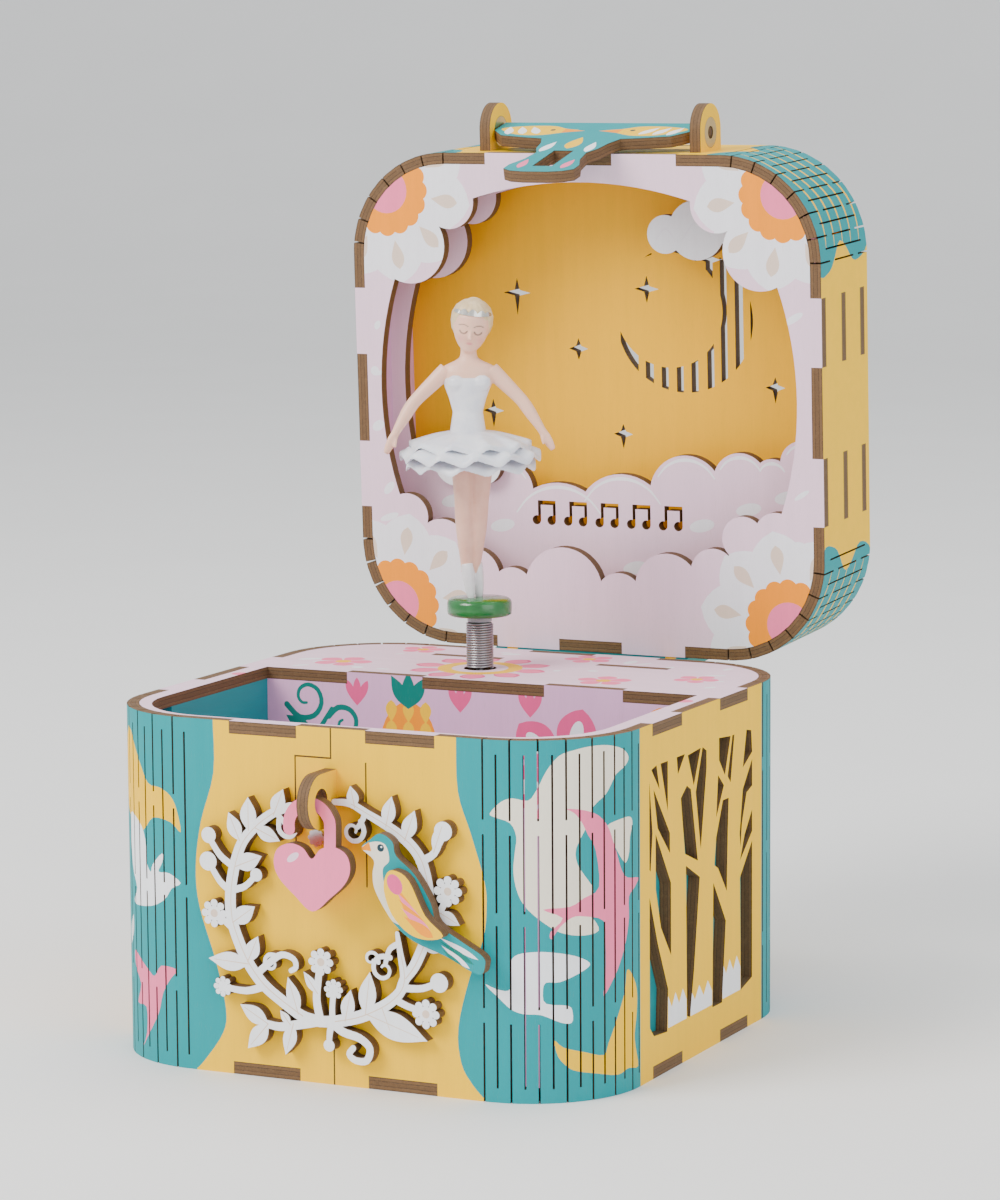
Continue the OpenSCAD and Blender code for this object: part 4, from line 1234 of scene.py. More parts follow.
    def top_plate(self) -> None:
        """Makes the printed top plate round the compartment."""
        rings = tabbed(BOX, PLY, FRONT_TABS, BOX_SIDE_TABS)
        mouth = [(49.3, PARTITION_Y), (-49.3, PARTITION_Y)]
        for sx, start in ((-1, 180), (1, 270)):
            for k in range(11):
                a = math.radians(start + 9 * k)
                mouth.append((sx * (49.3 - 18) + 18 * math.cos(a), -50.8 + 18 + 18 * math.sin(a)))
        cuts = [Cut([mouth]), Cut([circle(*SHAFT, 3.5)])]
        cuts += [
            Cut([rectangle(a, PARTITION_Y - 1, b, PARTITION_Y + PLY)]) for a,
            b in ((-30.3, -12.7), (15.2, 32.8))
        ]
        cuts += [Cut([rectangle(a, BOARD_Y, b, BOARD_Y + PLY)]) for a, b in ((-24.95, -8.45), (13.75, 30.25))]
        art = Drawing(Ink.PALE_PINK)
        roll = random.Random(4)
        for _ in range(26):
            x, y = roll.uniform(-48, 48), roll.uniform(14, 50)
            if math.hypot(x - SHAFT[0], y - SHAFT[1]) > 15:
                art.add(
                    circle(x, y, roll.uniform(0.8, 2.6), 14, roll.uniform(0.5, 1.4), roll.uniform(0, 90)),
                    Ink.MIST
                )
        for k in range(10):
            a = 36 * k
            foot = (SHAFT[0] + 6.5 * math.cos(math.radians(a)), SHAFT[1] + 6.5 * math.sin(math.radians(a)))
            art.add(petal(*foot, a, 8.6, 5.4, 0.62), Ink.DEEP_PINK)
            art.add(petal(*foot, a, 7.8, 4.2, 0.62), Ink.ROSE)
        art.disc(*SHAFT, 9.0, Ink.SUN)
        art.disc(*SHAFT, 6.0, Ink.PALE_PINK)
        for x, y, r, t in (
            (-38, 24, 6.5, 10), (24, 21, 6.0, 30), (41, 30, 5.0, 0), (-30, 46, 5.0, 20), (9, 47, 5.5, 50)
        ):
            art.bloom(x, y, r, 5, Ink.ROSE, Ink.SUN, t)
        for x, y in ((-46, -30), (46, -30), (-49.8, 0), (49.8, 3)):
            art.disc(x, y, 1.8, Ink.ROSE)
        sheet = CutSheet(
            "top_plate", rings, cuts, art, Drawing(Ink.BARE), PLY, lambda x, y, d: Vector((x, y, BOX_H - d))
        )
        self.shop.sheet(sheet, "base", "ply_pink", "box_top_plate", flat=True)

    def partition_art(self) -> Drawing:
        """Returns the garden printed on the partition's face."""
        art = Drawing(Ink.INSIDE_PINK)
        art.add(ribbon([(-46, 20), (-44, 36), (-39, 47), (-34, 55)], [1.6, 1.3, 0.9]), Ink.LEAF)
        for x, z, r, start, turns in (
            (-40, 57, 5, 200, 1.2), (-31, 52, 4, 160, -1.1), (-46, 47, 4, 300, 1.1), (-37, 43, 3.4, 100, -1.1)
        ):
            art.add(curl(x, z, r, start, turns, 1.3), Ink.LEAF)
        for x, z, a in ((-45, 30, 40), (-44, 36, 130), (-41, 43, 30), (-38, 49, 150)):
            art.add(petal(x, z, a, 8, 3.2, 0.5), Ink.LEAF)
        for a in (20, 50, 130, 160):
            art.add(petal(-16, 34, a, 13, 4.5, 0.5), Ink.LEAF)
        art.add(circle(-16, 38, 7.5, 30, 5.0), Ink.ROSE)
        art.add(circle(-16, 48, 6.6, 30, 9.5), Ink.ORANGE)
        for k in range(4):
            for j in range(3):
                art.add(petal(-20 + 4 * j, 40.5 + 4.2 * k, 90, 4.6, 2.6, 0.6), Ink.SUN)
        for k in range(3):
            art.add(petal(-16, 56, 60 + 30 * k, 8, 3, 0.5), Ink.LEAF)
        for x in (-28, -4, 12):
            for a in (65, 90, 115):
                art.add(petal(x, 56, a, 6, 1.8, 0.6), Ink.DEEP_PINK)
        for k in range(6):
            a = 60 * k + 15
            art.add(petal(20, 44, a, 15, 9, 0.64), Ink.DEEP_PINK)
            art.add(
                circle(
                    20 + 9.4 * math.cos(math.radians(a)), 44 + 9.4 * math.sin(math.radians(a)), 3.0, 20, 1.5,
                    a
                ),
                Ink.MIST
            )
        art.disc(20, 44, 3.2, Ink.SUN)
        art.add(circle(42, 50, 6.5, 32, 10), Ink.ORANGE)
        art.add(circle(42, 50, 4.6, 32, 7.8), Ink.SUN)
        for k in range(3):
            art.add(circle(42, 45 + 5 * k, 2.4, 20, 1.5), Ink.TEAL)
        art.shapes = [([(x, z + 7.5) for x, z in ring], ink) for ring, ink in art.shapes]
        return art

    def boards(self) -> None:
        """Makes the partition and the board that carries the movement, and paints the liners."""
        face = CutSheet(
            "partition_board",
            [rectangle(-51.8, PLY, 51.8, BOX_H - PLY)] + [
                rectangle(a, 60, b, BOX_H) for a, b in ((-30.3, -12.7), (15.2, 32.8))
            ],
            [],
            self.partition_art(),
            Drawing(Ink.BARE),
            PLY,
            lambda x, z, d: Vector((x, PARTITION_Y + d, z)),
        )
        self.shop.sheet(face, "base", "ply_pink", "partition")
        board = CutSheet(
            "movement_carrier",
            [rectangle(-38.5, PLY, 38.5, BOX_H - PLY)] + [
                rectangle(a, 60, b, BOX_H) for a, b in ((-24.95, -8.45), (13.75, 30.25))
            ],
            [Cut([circle(*KEY, KEY_HOLE)])],
            Drawing(Ink.BARE),
            Drawing(Ink.BARE),
            PLY,
            lambda x, z, d: Vector((x, BOARD_Y + d, z)),
        )
        self.shop.sheet(board, "base", "ply_pink", "movement_board")
        teal = PlainPly("teal_ply", Ink.TEAL, (1.0, 0.06, 1.0)).make()
        self.shop.dress("liner_left", teal)
        self.shop.dress("liner_right", teal)

    def build(self) -> None:
        """Makes the whole box."""
        self.wall()
        self.floor()
        self.top_plate()
        self.boards()


@dataclass
class FrontOrnaments:
    """The wreath, flower, bird, staple and heart on the front wall."""

    shop: Workshop

    def wreath(self) -> None:
        """Makes the cut-out wreath of curling branches."""
        stems: list[tuple[Ring, list[float]]] = [
            ([(-1.6, 13), (-5.6, 13.7), (-10, 16.3), (-14.1, 19.2), (-17.2, 22.9), (-19.4, 27.1), (-21, 31.8),
              (-21.2, 36.6), (-20.6, 40.6), (-19.6, 44.3), (-18.1, 47.6), (-14.9, 51), (-11.4, 53.5), (-7.6, 55)],
             [2.3, 2.5, 2.3, 1.7]),
            ([(-1.6, 13), (1.5, 13.3), (6, 14.4), (10, 16.1), (13.5, 18.2), (16, 20.8), (16.7, 23.6), (16, 27.6),
              (15.3, 31.9)], [2.2, 2.5, 2.0, 0.9]),
            ([(15.9, 20.8), (16.9, 23.2), (18.9, 25.8), (21.1, 30.4), (22.5, 34.5), (22.2, 38.4), (21.8, 42.4),
              (20.7, 46.3), (18.9, 48.9), (16.2, 51.1), (13.1, 52.9), (9.5, 54.6), (5.5, 56.5), (2, 56.6)],
             [2.0, 2.4, 2.2, 1.2]),
            ([(-1.6, 13), (-2.4, 17.3), (-2, 21.3), (-1.6, 24.2)], [1.8, 1.3]),
            ([(-2.5, 12.9), (-7.4, 11.7), (-10.9, 11.1), (-14.5, 11.6)], [2.0, 1.5]),
            (
                [
                    (0.6, 13.2), (3.3, 11.4), (6.9, 10.5), (9.1, 8.7), (8.4, 6.2), (6, 6), (4.6, 7.1),
                    (5.5, 8.4)
                ],
                [1.8, 1.2]
            ),
            ([(-15.8, 21), (-12.7, 23.7), (-10, 25.5), (-7.4, 24.9), (-6.9, 23.3), (-8, 22.5)], [1.5, 1.0]),
            ([(-21.2, 37.3), (-23.5, 39), (-25.9, 42.6)], [1.5, 1.2]),
            ([(-20.4, 42.2), (-23.4, 44.2), (-25.9, 47.8)], [1.5, 1.2]),
            ([(-14.1, 18.8), (-18, 17.6), (-22.7, 17.9)], [1.6, 1.2]),
            ([(-20.6, 29.6), (-22.4, 31), (-24.5, 32.3)], [1.4, 1.2]),
            ([(-21, 37.5), (-18, 38.4), (-15.5, 40.8)], [1.5, 1.1]),
            ([(20.2, 46.3), (23.4, 48.2), (25.1, 52.2)], [1.6, 1.3]),
            ([(22.3, 34.9), (24.6, 37), (26.2, 40.7)], [1.5, 1.2]),
            ([(16.6, 21.3), (20.6, 21.6), (23.8, 23)], [1.5, 1.2]),
            ([(14.4, 19.0), (17.4, 17.8), (20.9, 17.0)], [1.5, 1.2]),
            ([(0.9, 13), (0.4, 11), (0.2, 8.8)], [1.5, 1.1]),
            ([(1.0, 13.5), (1.0, 16), (1.3, 19.2)], [1.3, 1.1]),
            ([(15.6, 30), (13.6, 28.6), (12.7, 25.8)], [1.2, 0.9]),
            ([(-11, 53.5), (-9.8, 52.6), (-8.8, 51.4)], [1.2, 0.9]),
            ([(8.6, 54.8), (8.0, 53.4), (7.0, 52.0)], [1.2, 0.9]),
        ]
        rings = [ribbon(line, widths, 4) for line, widths in stems]
        leaves: list[tuple[float, float, float, float, float]] = [
            (-17, 49.6, -17, 56.2, 3.6), (-19, 47.4, -21.4, 52.9, 3.2), (-11.4, 53.0, -9.2, 58.3, 3.2),
            (-15.5, 50.2, -10, 48, 3.0), (-20, 42.2, -14.1, 44.7, 3.6), (-20.8, 31, -15.8, 34.6, 3.6),
            (-17.6, 23.4, -15.2, 28.7, 3.2), (-17.4, 23, -26.3, 23.4, 3.8), (-6.5, 14, -8.7, 21.2, 3.0),
            (-13.2, 11.4, -19.4, 14.8, 3.4), (-13.2, 11.4, -17.8, 6.1, 3.6), (-8.3, 11.7, -10.5, 14.4, 1.8),
            (-7.6, 12, -9.4, 5.6, 3.0), (3.8, 13.6, 5.1, 19.9, 3.0), (8.2, 15.2, 9.3, 23.8, 3.8),
            (8.4, 15.4, 21.6, 11.3, 5.4), (20.6, 30.4, 25.2, 29.2, 2.4), (6.4, 55.8, 5.5, 60, 2.6),
            (13.1, 52.6, 14.4, 58.6, 3.0), (17.1, 50.2, 19.3, 56.2, 3.2), (23.3, 48.4, 25.4, 54.4, 2.6),
            (24.3, 36.8, 28.7, 34.6, 2.6), (-2.2, 18.5, -5.2, 22.6, 2.0), (11.8, 17.0, 13.8, 11.9, 2.6),
        ]
        for x0, y0, x1, y1, w in leaves:
            rings.append(
                petal(
                    x0, y0, math.degrees(math.atan2(y1 - y0, x1 - x0)), math.hypot(x1 - x0, y1 - y0), w, 0.45
                )
            )
        for x, y, r in (
            (-26.1, 42.8, 1.9), (-25.9, 48, 1.6), (25.3, 52.6, 1.9), (24.2, 23, 1.9), (-15.4, 40.9, 1.3),
            (0.2, 8.4, 1.2)
        ):
            rings.append(circle(x, y, r, 20))
        for x, y, r in (
            (-24.9, 32.5, 3.0), (26.2, 41, 3.2), (21.3, 16.6, 3.1), (-1.4, 24.8, 2.9), (1.3, 19.6, 2.2),
            (-23.2, 18, 2.2)
        ):
            rings.append(circle(x, y, r * 0.5, 16))
            rings += [
                circle(
                    x + r * 0.68 * math.cos(math.pi * k / 4),
                    y + r * 0.68 * math.sin(math.pi * k / 4),
                    r * 0.26,
                    12
                ) for k in range(8)
            ]
        for x, y, r, start, turns, w in (
            (-8, 50.9, 2.5, 150, 1.1, 1.1), (6.0, 51.2, 2.6, 50, -1.2, 1.1), (12.3, 24.6, 2.8, 60, 1.2, 1.1),
            (-12.3, 23.6, 1.9, 60, 1.1, 0.9), (9.6, 26.4, 1.7, 340, 1.0, 0.8),
        ):
            rings.append(curl(x, y, r, start, turns, w))
        art = Drawing(Ink.WHITE)
        for line, _ in stems[:3]:
            art.add(ribbon([(x + 0.1, y) for x, y in line[1:-1]], [0.22, 0.16], 3), Ink.BEIGE)
        for x0, y0, x1, y1, _ in leaves:
            art.add(
                ribbon(
                    [
                        (x0, y0),
                        ((x0 + x1) / 2, (y0 + y1) / 2),
                        (0.15 * x0 + 0.85 * x1, 0.15 * y0 + 0.85 * y1)
                    ],
                    [0.2, 0.12],
                    2
                ),
                Ink.BEIGE
            )
        for x, y, r in ((-24.9, 32.5, 0.8), (26.2, 41, 0.8), (21.3, 16.6, 0.8), (-1.4, 24.8, 0.8)):
            art.disc(x, y, r, Ink.BEIGE)
        sheet = CutSheet(
            "wreath_cutout", rings, [], art, Drawing(Ink.WHITE), PLY, lambda x, z,
            d: Vector((x, -HALF - PLY + d, z))
        )
        self.shop.sheet(sheet, "base", "ply_white", "wreath")

    def bird(self) -> None:
        """Makes the bird and its two-coloured wing."""
        outline: Ring = [
            (9.1, 48.6), (10.9, 50.3), (13.1, 51.7), (15.7, 50.3), (16.5, 47.6), (20.4, 44.3), (23.8, 39), (25.1, 35.2),
            (30.3, 32.1), (34.6, 29.7), (35.2, 27.9), (33.7, 26), (26.8, 29), (20.3, 31.2), (15.9, 34.4), (12.1, 40.1),
            (11.4, 43.6), (11.7, 46.4),
        ]
        art = Drawing(Ink.TEAL)
        art.add(
            curve(
                [
                    (9.1, 48.6), (11.6, 50), (14.2, 49.6), (15, 46.6), (13.6, 44.6), (14.6, 40), (18.4, 34.6),
                    (15, 35.2), (11.2, 41), (11, 46.6)
                ]
            ),
            Ink.CREAM
        )
        art.add([(8.6, 48.3), (10.7, 49.9), (11.2, 48.1)], Ink.ORANGE)
        art.disc(13.2, 48.9, 0.75, Ink.EYE)
        art.disc(13.35, 49.1, 0.2, Ink.WHITE)
        for k in range(4):
            art.add(
                petal(25.4 + 0.3 * k, 32.6 - 0.8 * k, -24 - 5 * k, 9.2 - k, 1.1, 0.6),
                Ink.LEAF if k % 2 else Ink.MIST
            )
        sheet = CutSheet(
            "bird_cutout", [curve(outline, steps=4)], [], art, Drawing(Ink.TEAL), PLY, lambda x, z,
            d: Vector((x, -HALF - 2 * PLY + d, z))
        )
        self.shop.sheet(sheet, "base", "ply_teal", "bird_body")
        wing: Ring = [
            (15.6, 44.4), (17.3, 45.3), (20.4, 43.6), (23.8, 37.1), (27.6, 33.5), (24.2, 32.4), (20.3, 33.3),
            (16.8, 36.6), (15.1, 41.2)
        ]
        feathers = Drawing(Ink.SUN)
        for k in range(5):
            feathers.add(
                petal(17.2 + 0.5 * k, 43 - 1.6 * k, -58 + 7 * k, 10.5 - 0.8 * k, 2.0, 0.66),
                Ink.ROSE if k % 2 else Ink.ORANGE
            )
        feathers.add(circle(17.4, 42.6, 1.5, 18, 2.1, 30), Ink.DEEP_PINK)
        sheet = CutSheet(
            "wing_cutout", [curve(wing, steps=4)], [], feathers, Drawing(Ink.SUN), PLY, lambda x, z,
            d: Vector((x, -HALF - 3 * PLY + d, z))
        )
        self.shop.sheet(sheet, "base", "ply_yellow", "bird_wing")

    def heart(self) -> None:
        """Makes the heart padlock with its hook."""
        cx, cz, r, w = -0.7, 52.5, 4.5, 2.5
        arc = [
            (
                cx + r * math.cos(math.radians(a)), cz + r * math.sin(math.radians(a))
            ) for a in range(190, -1, -15)
        ]
        hook = ribbon([*arc, (cx + r - 0.1, 49.5), (cx + r - 0.2, 46.4)], [w, w], 3)
        body = curve(
            [(-0.3, 46.2), (1.6, 48.2), (4.4, 48.9), (7.2, 47.6), (8.0, 44.7), (6.8, 41.8), (3.6, 38.8), (-0.3, 35.9),
             (-4.2, 38.8), (-7.4, 41.8), (-8.6, 44.7), (-7.8, 47.6), (-5.0, 48.9), (-2.2, 48.2)],
            steps=5,
        )
        art = Drawing(Ink.HEART)
        art.add(circle(-4.4, 46.2, 1.5, 18, 0.7, 35), Ink.PALE_PINK)
        sheet = CutSheet(
            "heart_cutout",
            [body, hook],
            [],
            art,
            Drawing(Ink.HEART),
            PLY,
            lambda x,
            z,
            d: Vector((x, -HALF - 5.25 - PLY + d, z))
        )
        self.shop.sheet(sheet, "heart", "ply_heart", "heart_padlock")

    def staple(self) -> None:
        """Makes the upright eye the heart hangs in."""
        y0, z0, r = -HALF, 57.2, 5.4
        nose = [(y0, z0 - r)] + [
            (
                y0 - 6.5 + r * math.cos(math.radians(a)), z0 + r * math.sin(math.radians(a))
            ) for a in range(270, 89, -9)
        ] + [(y0, z0 + r)]
        sheet = CutSheet(
            "staple_eye", [nose], [
                Cut([circle(y0 - 6.5, z0, 2.6)])
            ], Drawing(Ink.YELLOW), Drawing(Ink.YELLOW), PLY,
            lambda y, z, d: Vector((PLY / 2 - d, y, z)),
        )
        self.shop.sheet(sheet, "base", "ply_yellow", "staple")

    def build(self) -> None:
        """Makes every ornament."""
        self.wreath()
        self.bird()
        self.staple()
        self.heart()
        self.shop.dress("front_flower", self.shop.steel)


# ------------------------------------------------------------------------------ lid


@dataclass
class LidShell:
    """The lid: bent wall, printed rim, cloud panel, starry backdrop and loose clouds."""

    shop: Workshop
    depth: float = 27.1
    rows: tuple[float, float, float] = (0.0, 11.6, 22.6)
    rim_bumps: tuple = (
        (-43.7, 28.1, 5.05), (-35.3, 21.5, 6.3), (-27.6, 15.5, 6.1), (-18.45, 12.8, 5), (-6.1, 13.5, 9.3),
        (7.2, 12.2, 5.6), (18.6, 15, 7.6), (29.4, 18.9, 5.3), (36.4, 26.6, 4.85), (44, 27.6, 5),
    )
    cloud_bumps: tuple = (
        (-44, 36, 7.5), (-35, 36.4, 6.4), (-25, 32.9, 6.7), (-12.1, 22.2, 12.9), (3.2, 26.2, 11.4), (18.5, 33.6, 8.7),
        (31.2, 36.9, 6.4), (38.6, 38, 4.3), (45.5, 41.4, 5),
    )
    stars: tuple = (
        (-26.2, 75.6, 3.3, 5), (5.2, 77.1, 2.9, 3.1), (-11.5, 63.5, 2.3, 2.5), (-32.8, 49, 2.6, 3.8),
        (-1.1, 44.8, 2.3, 3.3), (35.2, 56.2, 2.3, 3.4), (20.3, 83.8, 2.4, 3),
    )
    bars: tuple = (
        (-1.3, 2.9), (4.6, 6.5), (8.4, 10), (12, 13.6), (15.5, 17.1), (19.3, 20.9), (22.6, 24.1), (26, 27.9), (29.6, 30.3),
    )

    def outlines(self) -> list[Ring]:
        """Returns the outlines of a lid panel and its tabs, as x and h."""
        rings = tabbed(BOX, PLY, FRONT_TABS, LID_SIDE_TABS)
        return [[(x, y + HALF) for x, y in ring] for ring in rings]

    def opening(self, bumps: tuple) -> Cut:
        """Returns a panel's opening over a row of cloud bumps.

        Args:
            bumps: each cloud bump as place, height and radius.

        Returns:
            The opening above the bumps.
        """
        inside = [
            circle(26, 56.2, 75.2, 150),
            circle(-26, 56.2, 75.2, 150),
            circle(0, 13.3, 89, 150),
            rectangle(-50, 10, 50, 105)
        ]
        outside: list[Ring] = []
        for sign in (-1, 1):
            outside += [circle(sign * x, h, r, 40) for x, h, r in ((31.5, 97.8, 6.0), (41.2, 88.1, 8.4))]
            outside.append(
                [(sign * x, h) for x, h in ((27, 110), (31.5, 97.8), (41.2, 88.1), (52, 84), (52, 110))]
            )
        outside += [circle(x, h, r, 40) for x, h, r in bumps]
        outside.append(
            [(-52, 0), (-52, bumps[0][1]), *((x, h) for x, h, _ in bumps), (52, bumps[-1][1]), (52, 0)]
        )
        return Cut(inside, outside)

    def wall(self) -> None:
        """Makes the bent wall with its hair-like swirls."""
        cuts, bends = slits(BOX, self.depth, [(0, 0.2), (0.3, 0.7), (0.8, 1)], [(0.12, 0.88)])
        half = BOX.length / 2
        for q in self.rows:
            q0 = -1.0 if q == 0 else q
            for a, b in FRONT_TABS:
                cuts.append(Cut([rectangle(a, q0, b, q + PLY)]))
                cuts.append(back_slot(a, b, q0, q + PLY))
            for a, b in LID_SIDE_TABS:
                cuts.append(Cut([rectangle(SIDE + a, q0, SIDE + b, q + PLY)]))
                cuts.append(Cut([rectangle(-SIDE - b, q0, -SIDE - a, q + PLY)]))
        for x in (24.75, -24.75):
            s = half - x if x > 0 else -half - x
            cuts.append(Cut([rectangle(s - 1.25, 8.8, s + 1.25, 12.8)]))
        art = Drawing(Ink.YELLOW)
        for centre in (50.0, 149.0, -50.0, -149.0):
            art.add(
                curve(
                    [
                        (centre - 17, -2), (centre - 20, 5), (centre - 14, 12), (centre - 19, 20),
                        (centre - 13, 29), (centre + 13, 29), (centre + 19, 21), (centre + 14, 13),
                        (centre + 20, 6), (centre + 17, -2)
                    ]
                ),
                Ink.TEAL
            )
            for k in range(5):
                q = 3.6 + 4.8 * k
                art.add(
                    ribbon(
                        [
                            (centre - 15, q),
                            (centre - 5, q + 1.6),
                            (centre + 6, q - 1.0),
                            (centre + 15, q + 0.8)
                        ],
                        [0.15, 0.9, 0.7, 0.15],
                        5
                    ),
                    Ink.YELLOW
                )
        sheet = CutSheet(
            "lid_wall", [rectangle(-half, 0, half, self.depth)], cuts, art, Drawing(Ink.INSIDE_PINK), PLY,
            lambda s, q, d: in_lid(BOX.at(s, d)[0], BOX.at(s, d)[1] + HALF, q),
            [((s, -2.0), (s, self.depth + 2)) for s in bends],
        )
        self.shop.sheet(sheet, "lid", "ply_yellow", "lid_wrap", flat=True)

    def at(self, q: float) -> Place:
        """Returns the placing of a panel whose face lies q behind the rim."""
        return lambda x, h, d: in_lid(x, h, q + d)

    def rim(self) -> None:
        """Makes the rim panel with a big flower in each corner."""
        art = Drawing(Ink.PALE_PINK)
        roll = random.Random(9)
        for _ in range(34):
            x = roll.choice((-1, 1)) * roll.uniform(30, 51)
            art.add(
                circle(
                    x, roll.uniform(20, 90), roll.uniform(1, 2.6), 14, roll.uniform(0.5, 1.2),
                    roll.uniform(0, 90)
                ),
                Ink.MIST
            )
        for x, h in ((46.6, 100.0), (-46.6, 100.0), (46.6, 8.4), (-46.6, 8.4)):
            inward = math.degrees(math.atan2(HALF - h, -x))
            for k in range(5):
                a = inward + 36 * (k - 2)
                art.add(petal(x, h, a, 20.5, 12.5, 0.68), Ink.MIST)
            for k in range(5):
                a = math.radians(inward + 36 * (k - 2))
                art.add(
                    petal(x + 11 * math.cos(a), h + 11 * math.sin(a), math.degrees(a), 6.4, 3.0, 0.62),
                    Ink.BEIGE
                )
            for k in range(9):
                a = math.radians(inward + 22.5 * (k - 4))
                art.disc(x + 7.8 * math.cos(a), h + 7.8 * math.sin(a), 2.2, Ink.ORANGE)
            art.disc(x, h, 7.8, Ink.ORANGE)
            art.disc(x, h, 5.0, Ink.ROSE)
        sheet = CutSheet(
            "rim_panel", self.outlines(), [self.opening(self.rim_bumps)], art, Drawing(Ink.BARE), PLY,
            self.at(self.rows[0])
        )
        self.shop.sheet(sheet, "lid", "ply_pink", "lid_rim_panel")

    def clouds(self) -> None:
        """Makes the cloud panel, with a generic row of notes cut out of it, and two loose clouds."""
        cuts = [self.opening(self.cloud_bumps)]
        for x in (-17.6, -10.0, -2.4, 5.2, 12.8):
            for dx in (0, 3.6):
                cuts.append(Cut([circle(x + dx, 26.6, 1.05, 16)]))
                cuts.append(Cut([rectangle(x + dx + 0.35, 26.6, x + dx + 1.05, 31)]))
            cuts.append(Cut([rectangle(x + 0.35, 30, x + 4.65, 31)]))
        art = Drawing(Ink.PALE_PINK)
        for x, h, r in self.cloud_bumps:
            art.add(
                ribbon(
                    [
                        (
                            x + (r - 1) * math.cos(math.radians(a)), h + (r - 1) * math.sin(math.radians(a))
                        ) for a in range(150, 29, -20)
                    ],
                    [0.3, 0.8, 0.3],
                    3
                ),
                Ink.WHITE
            )
        for x, h in ((-38, 30), (-26, 25), (22, 27), (33, 31), (-8, 17), (6, 17), (42, 34)):
            art.add(circle(x, h, 3.0, 18, 1.4, 12), Ink.MIST)
        sheet = CutSheet(
            "cloud_panel", self.outlines(), cuts, art, Drawing(Ink.BARE), PLY, self.at(self.rows[1])
        )
        self.shop.sheet(sheet, "lid", "ply_pink", "lid_cloud_panel")
        for name, q, discs, base in (
            ("cloud_high", 14.1, ((13.5, 90, 4.2), (20.9, 91, 6.5), (28.5, 93.5, 5.5)), "lid_cloud_high"),
            ("cloud_low", 9.1, ((-29.6, 38.9, 4.7), (-36, 39, 5.2)), "lid_cloud_low"),
        ):
            puff = Drawing(Ink.WHITE)
            for x, h, r in discs:
                puff.add(
                    ribbon(
                        [(x - 0.5 * r, h - 0.3 * r), (x, h + 0.3 * r), (x + 0.5 * r, h - 0.2 * r)],
                        [0.2, 0.5, 0.2],
                        3
                    ),
                    Ink.MIST
                )
            made = CutSheet(
                name,
                [circle(x, h, r, 40) for x, h, r in discs],
                [],
                puff,
                Drawing(Ink.WHITE),
                PLY,
                self.at(q)
            )
            self.shop.sheet(made, "lid", "ply_white", base)

    def backdrop(self) -> None:
        """Makes the golden night sky with cut-out stars and a barred moon."""
        cuts = []
        for x, h, r, down in self.stars:
            w = 0.62
            cuts.append(
                Cut(
                    [
                        [
                            (x, h + r), (x + w, h + w), (x + r, h), (x + w, h - w), (x, h - down),
                            (x - w, h - w), (x - r, h), (x - w, h + w)
                        ]
                    ]
                )
            )
        moon, shade = circle(14, 70.7, 16.2, 96), circle(10.4, 72.6, 12.7, 96)
        for a, b in self.bars:
            cuts.append(Cut([moon, rectangle(a, 50, b, 90)], [shade]))
        art = Drawing(Ink.GOLD)
        top = Drawing(Ink.TEAL)
        for k in range(12):
            a = 30 * k
            top.add(petal(0, HALF, a, 34, 15, 0.66), Ink.YELLOW if k % 2 else Ink.ROSE)
        top.disc(0, HALF, 12, Ink.CREAM)
        for x, h in ((-36, 18), (36, 18), (-36, 90), (36, 90)):
            top.bloom(x, h, 10, 6, Ink.WHITE, Ink.ORANGE)
        sheet = CutSheet("night_sky", self.outlines(), cuts, art, top, PLY, self.at(self.rows[2]))
        self.shop.sheet(sheet, "lid", "ply_gold", "lid_backdrop")

    def build(self) -> None:
        """Makes the whole lid."""
        self.wall()
        self.rim()
        self.clouds()
        self.backdrop()


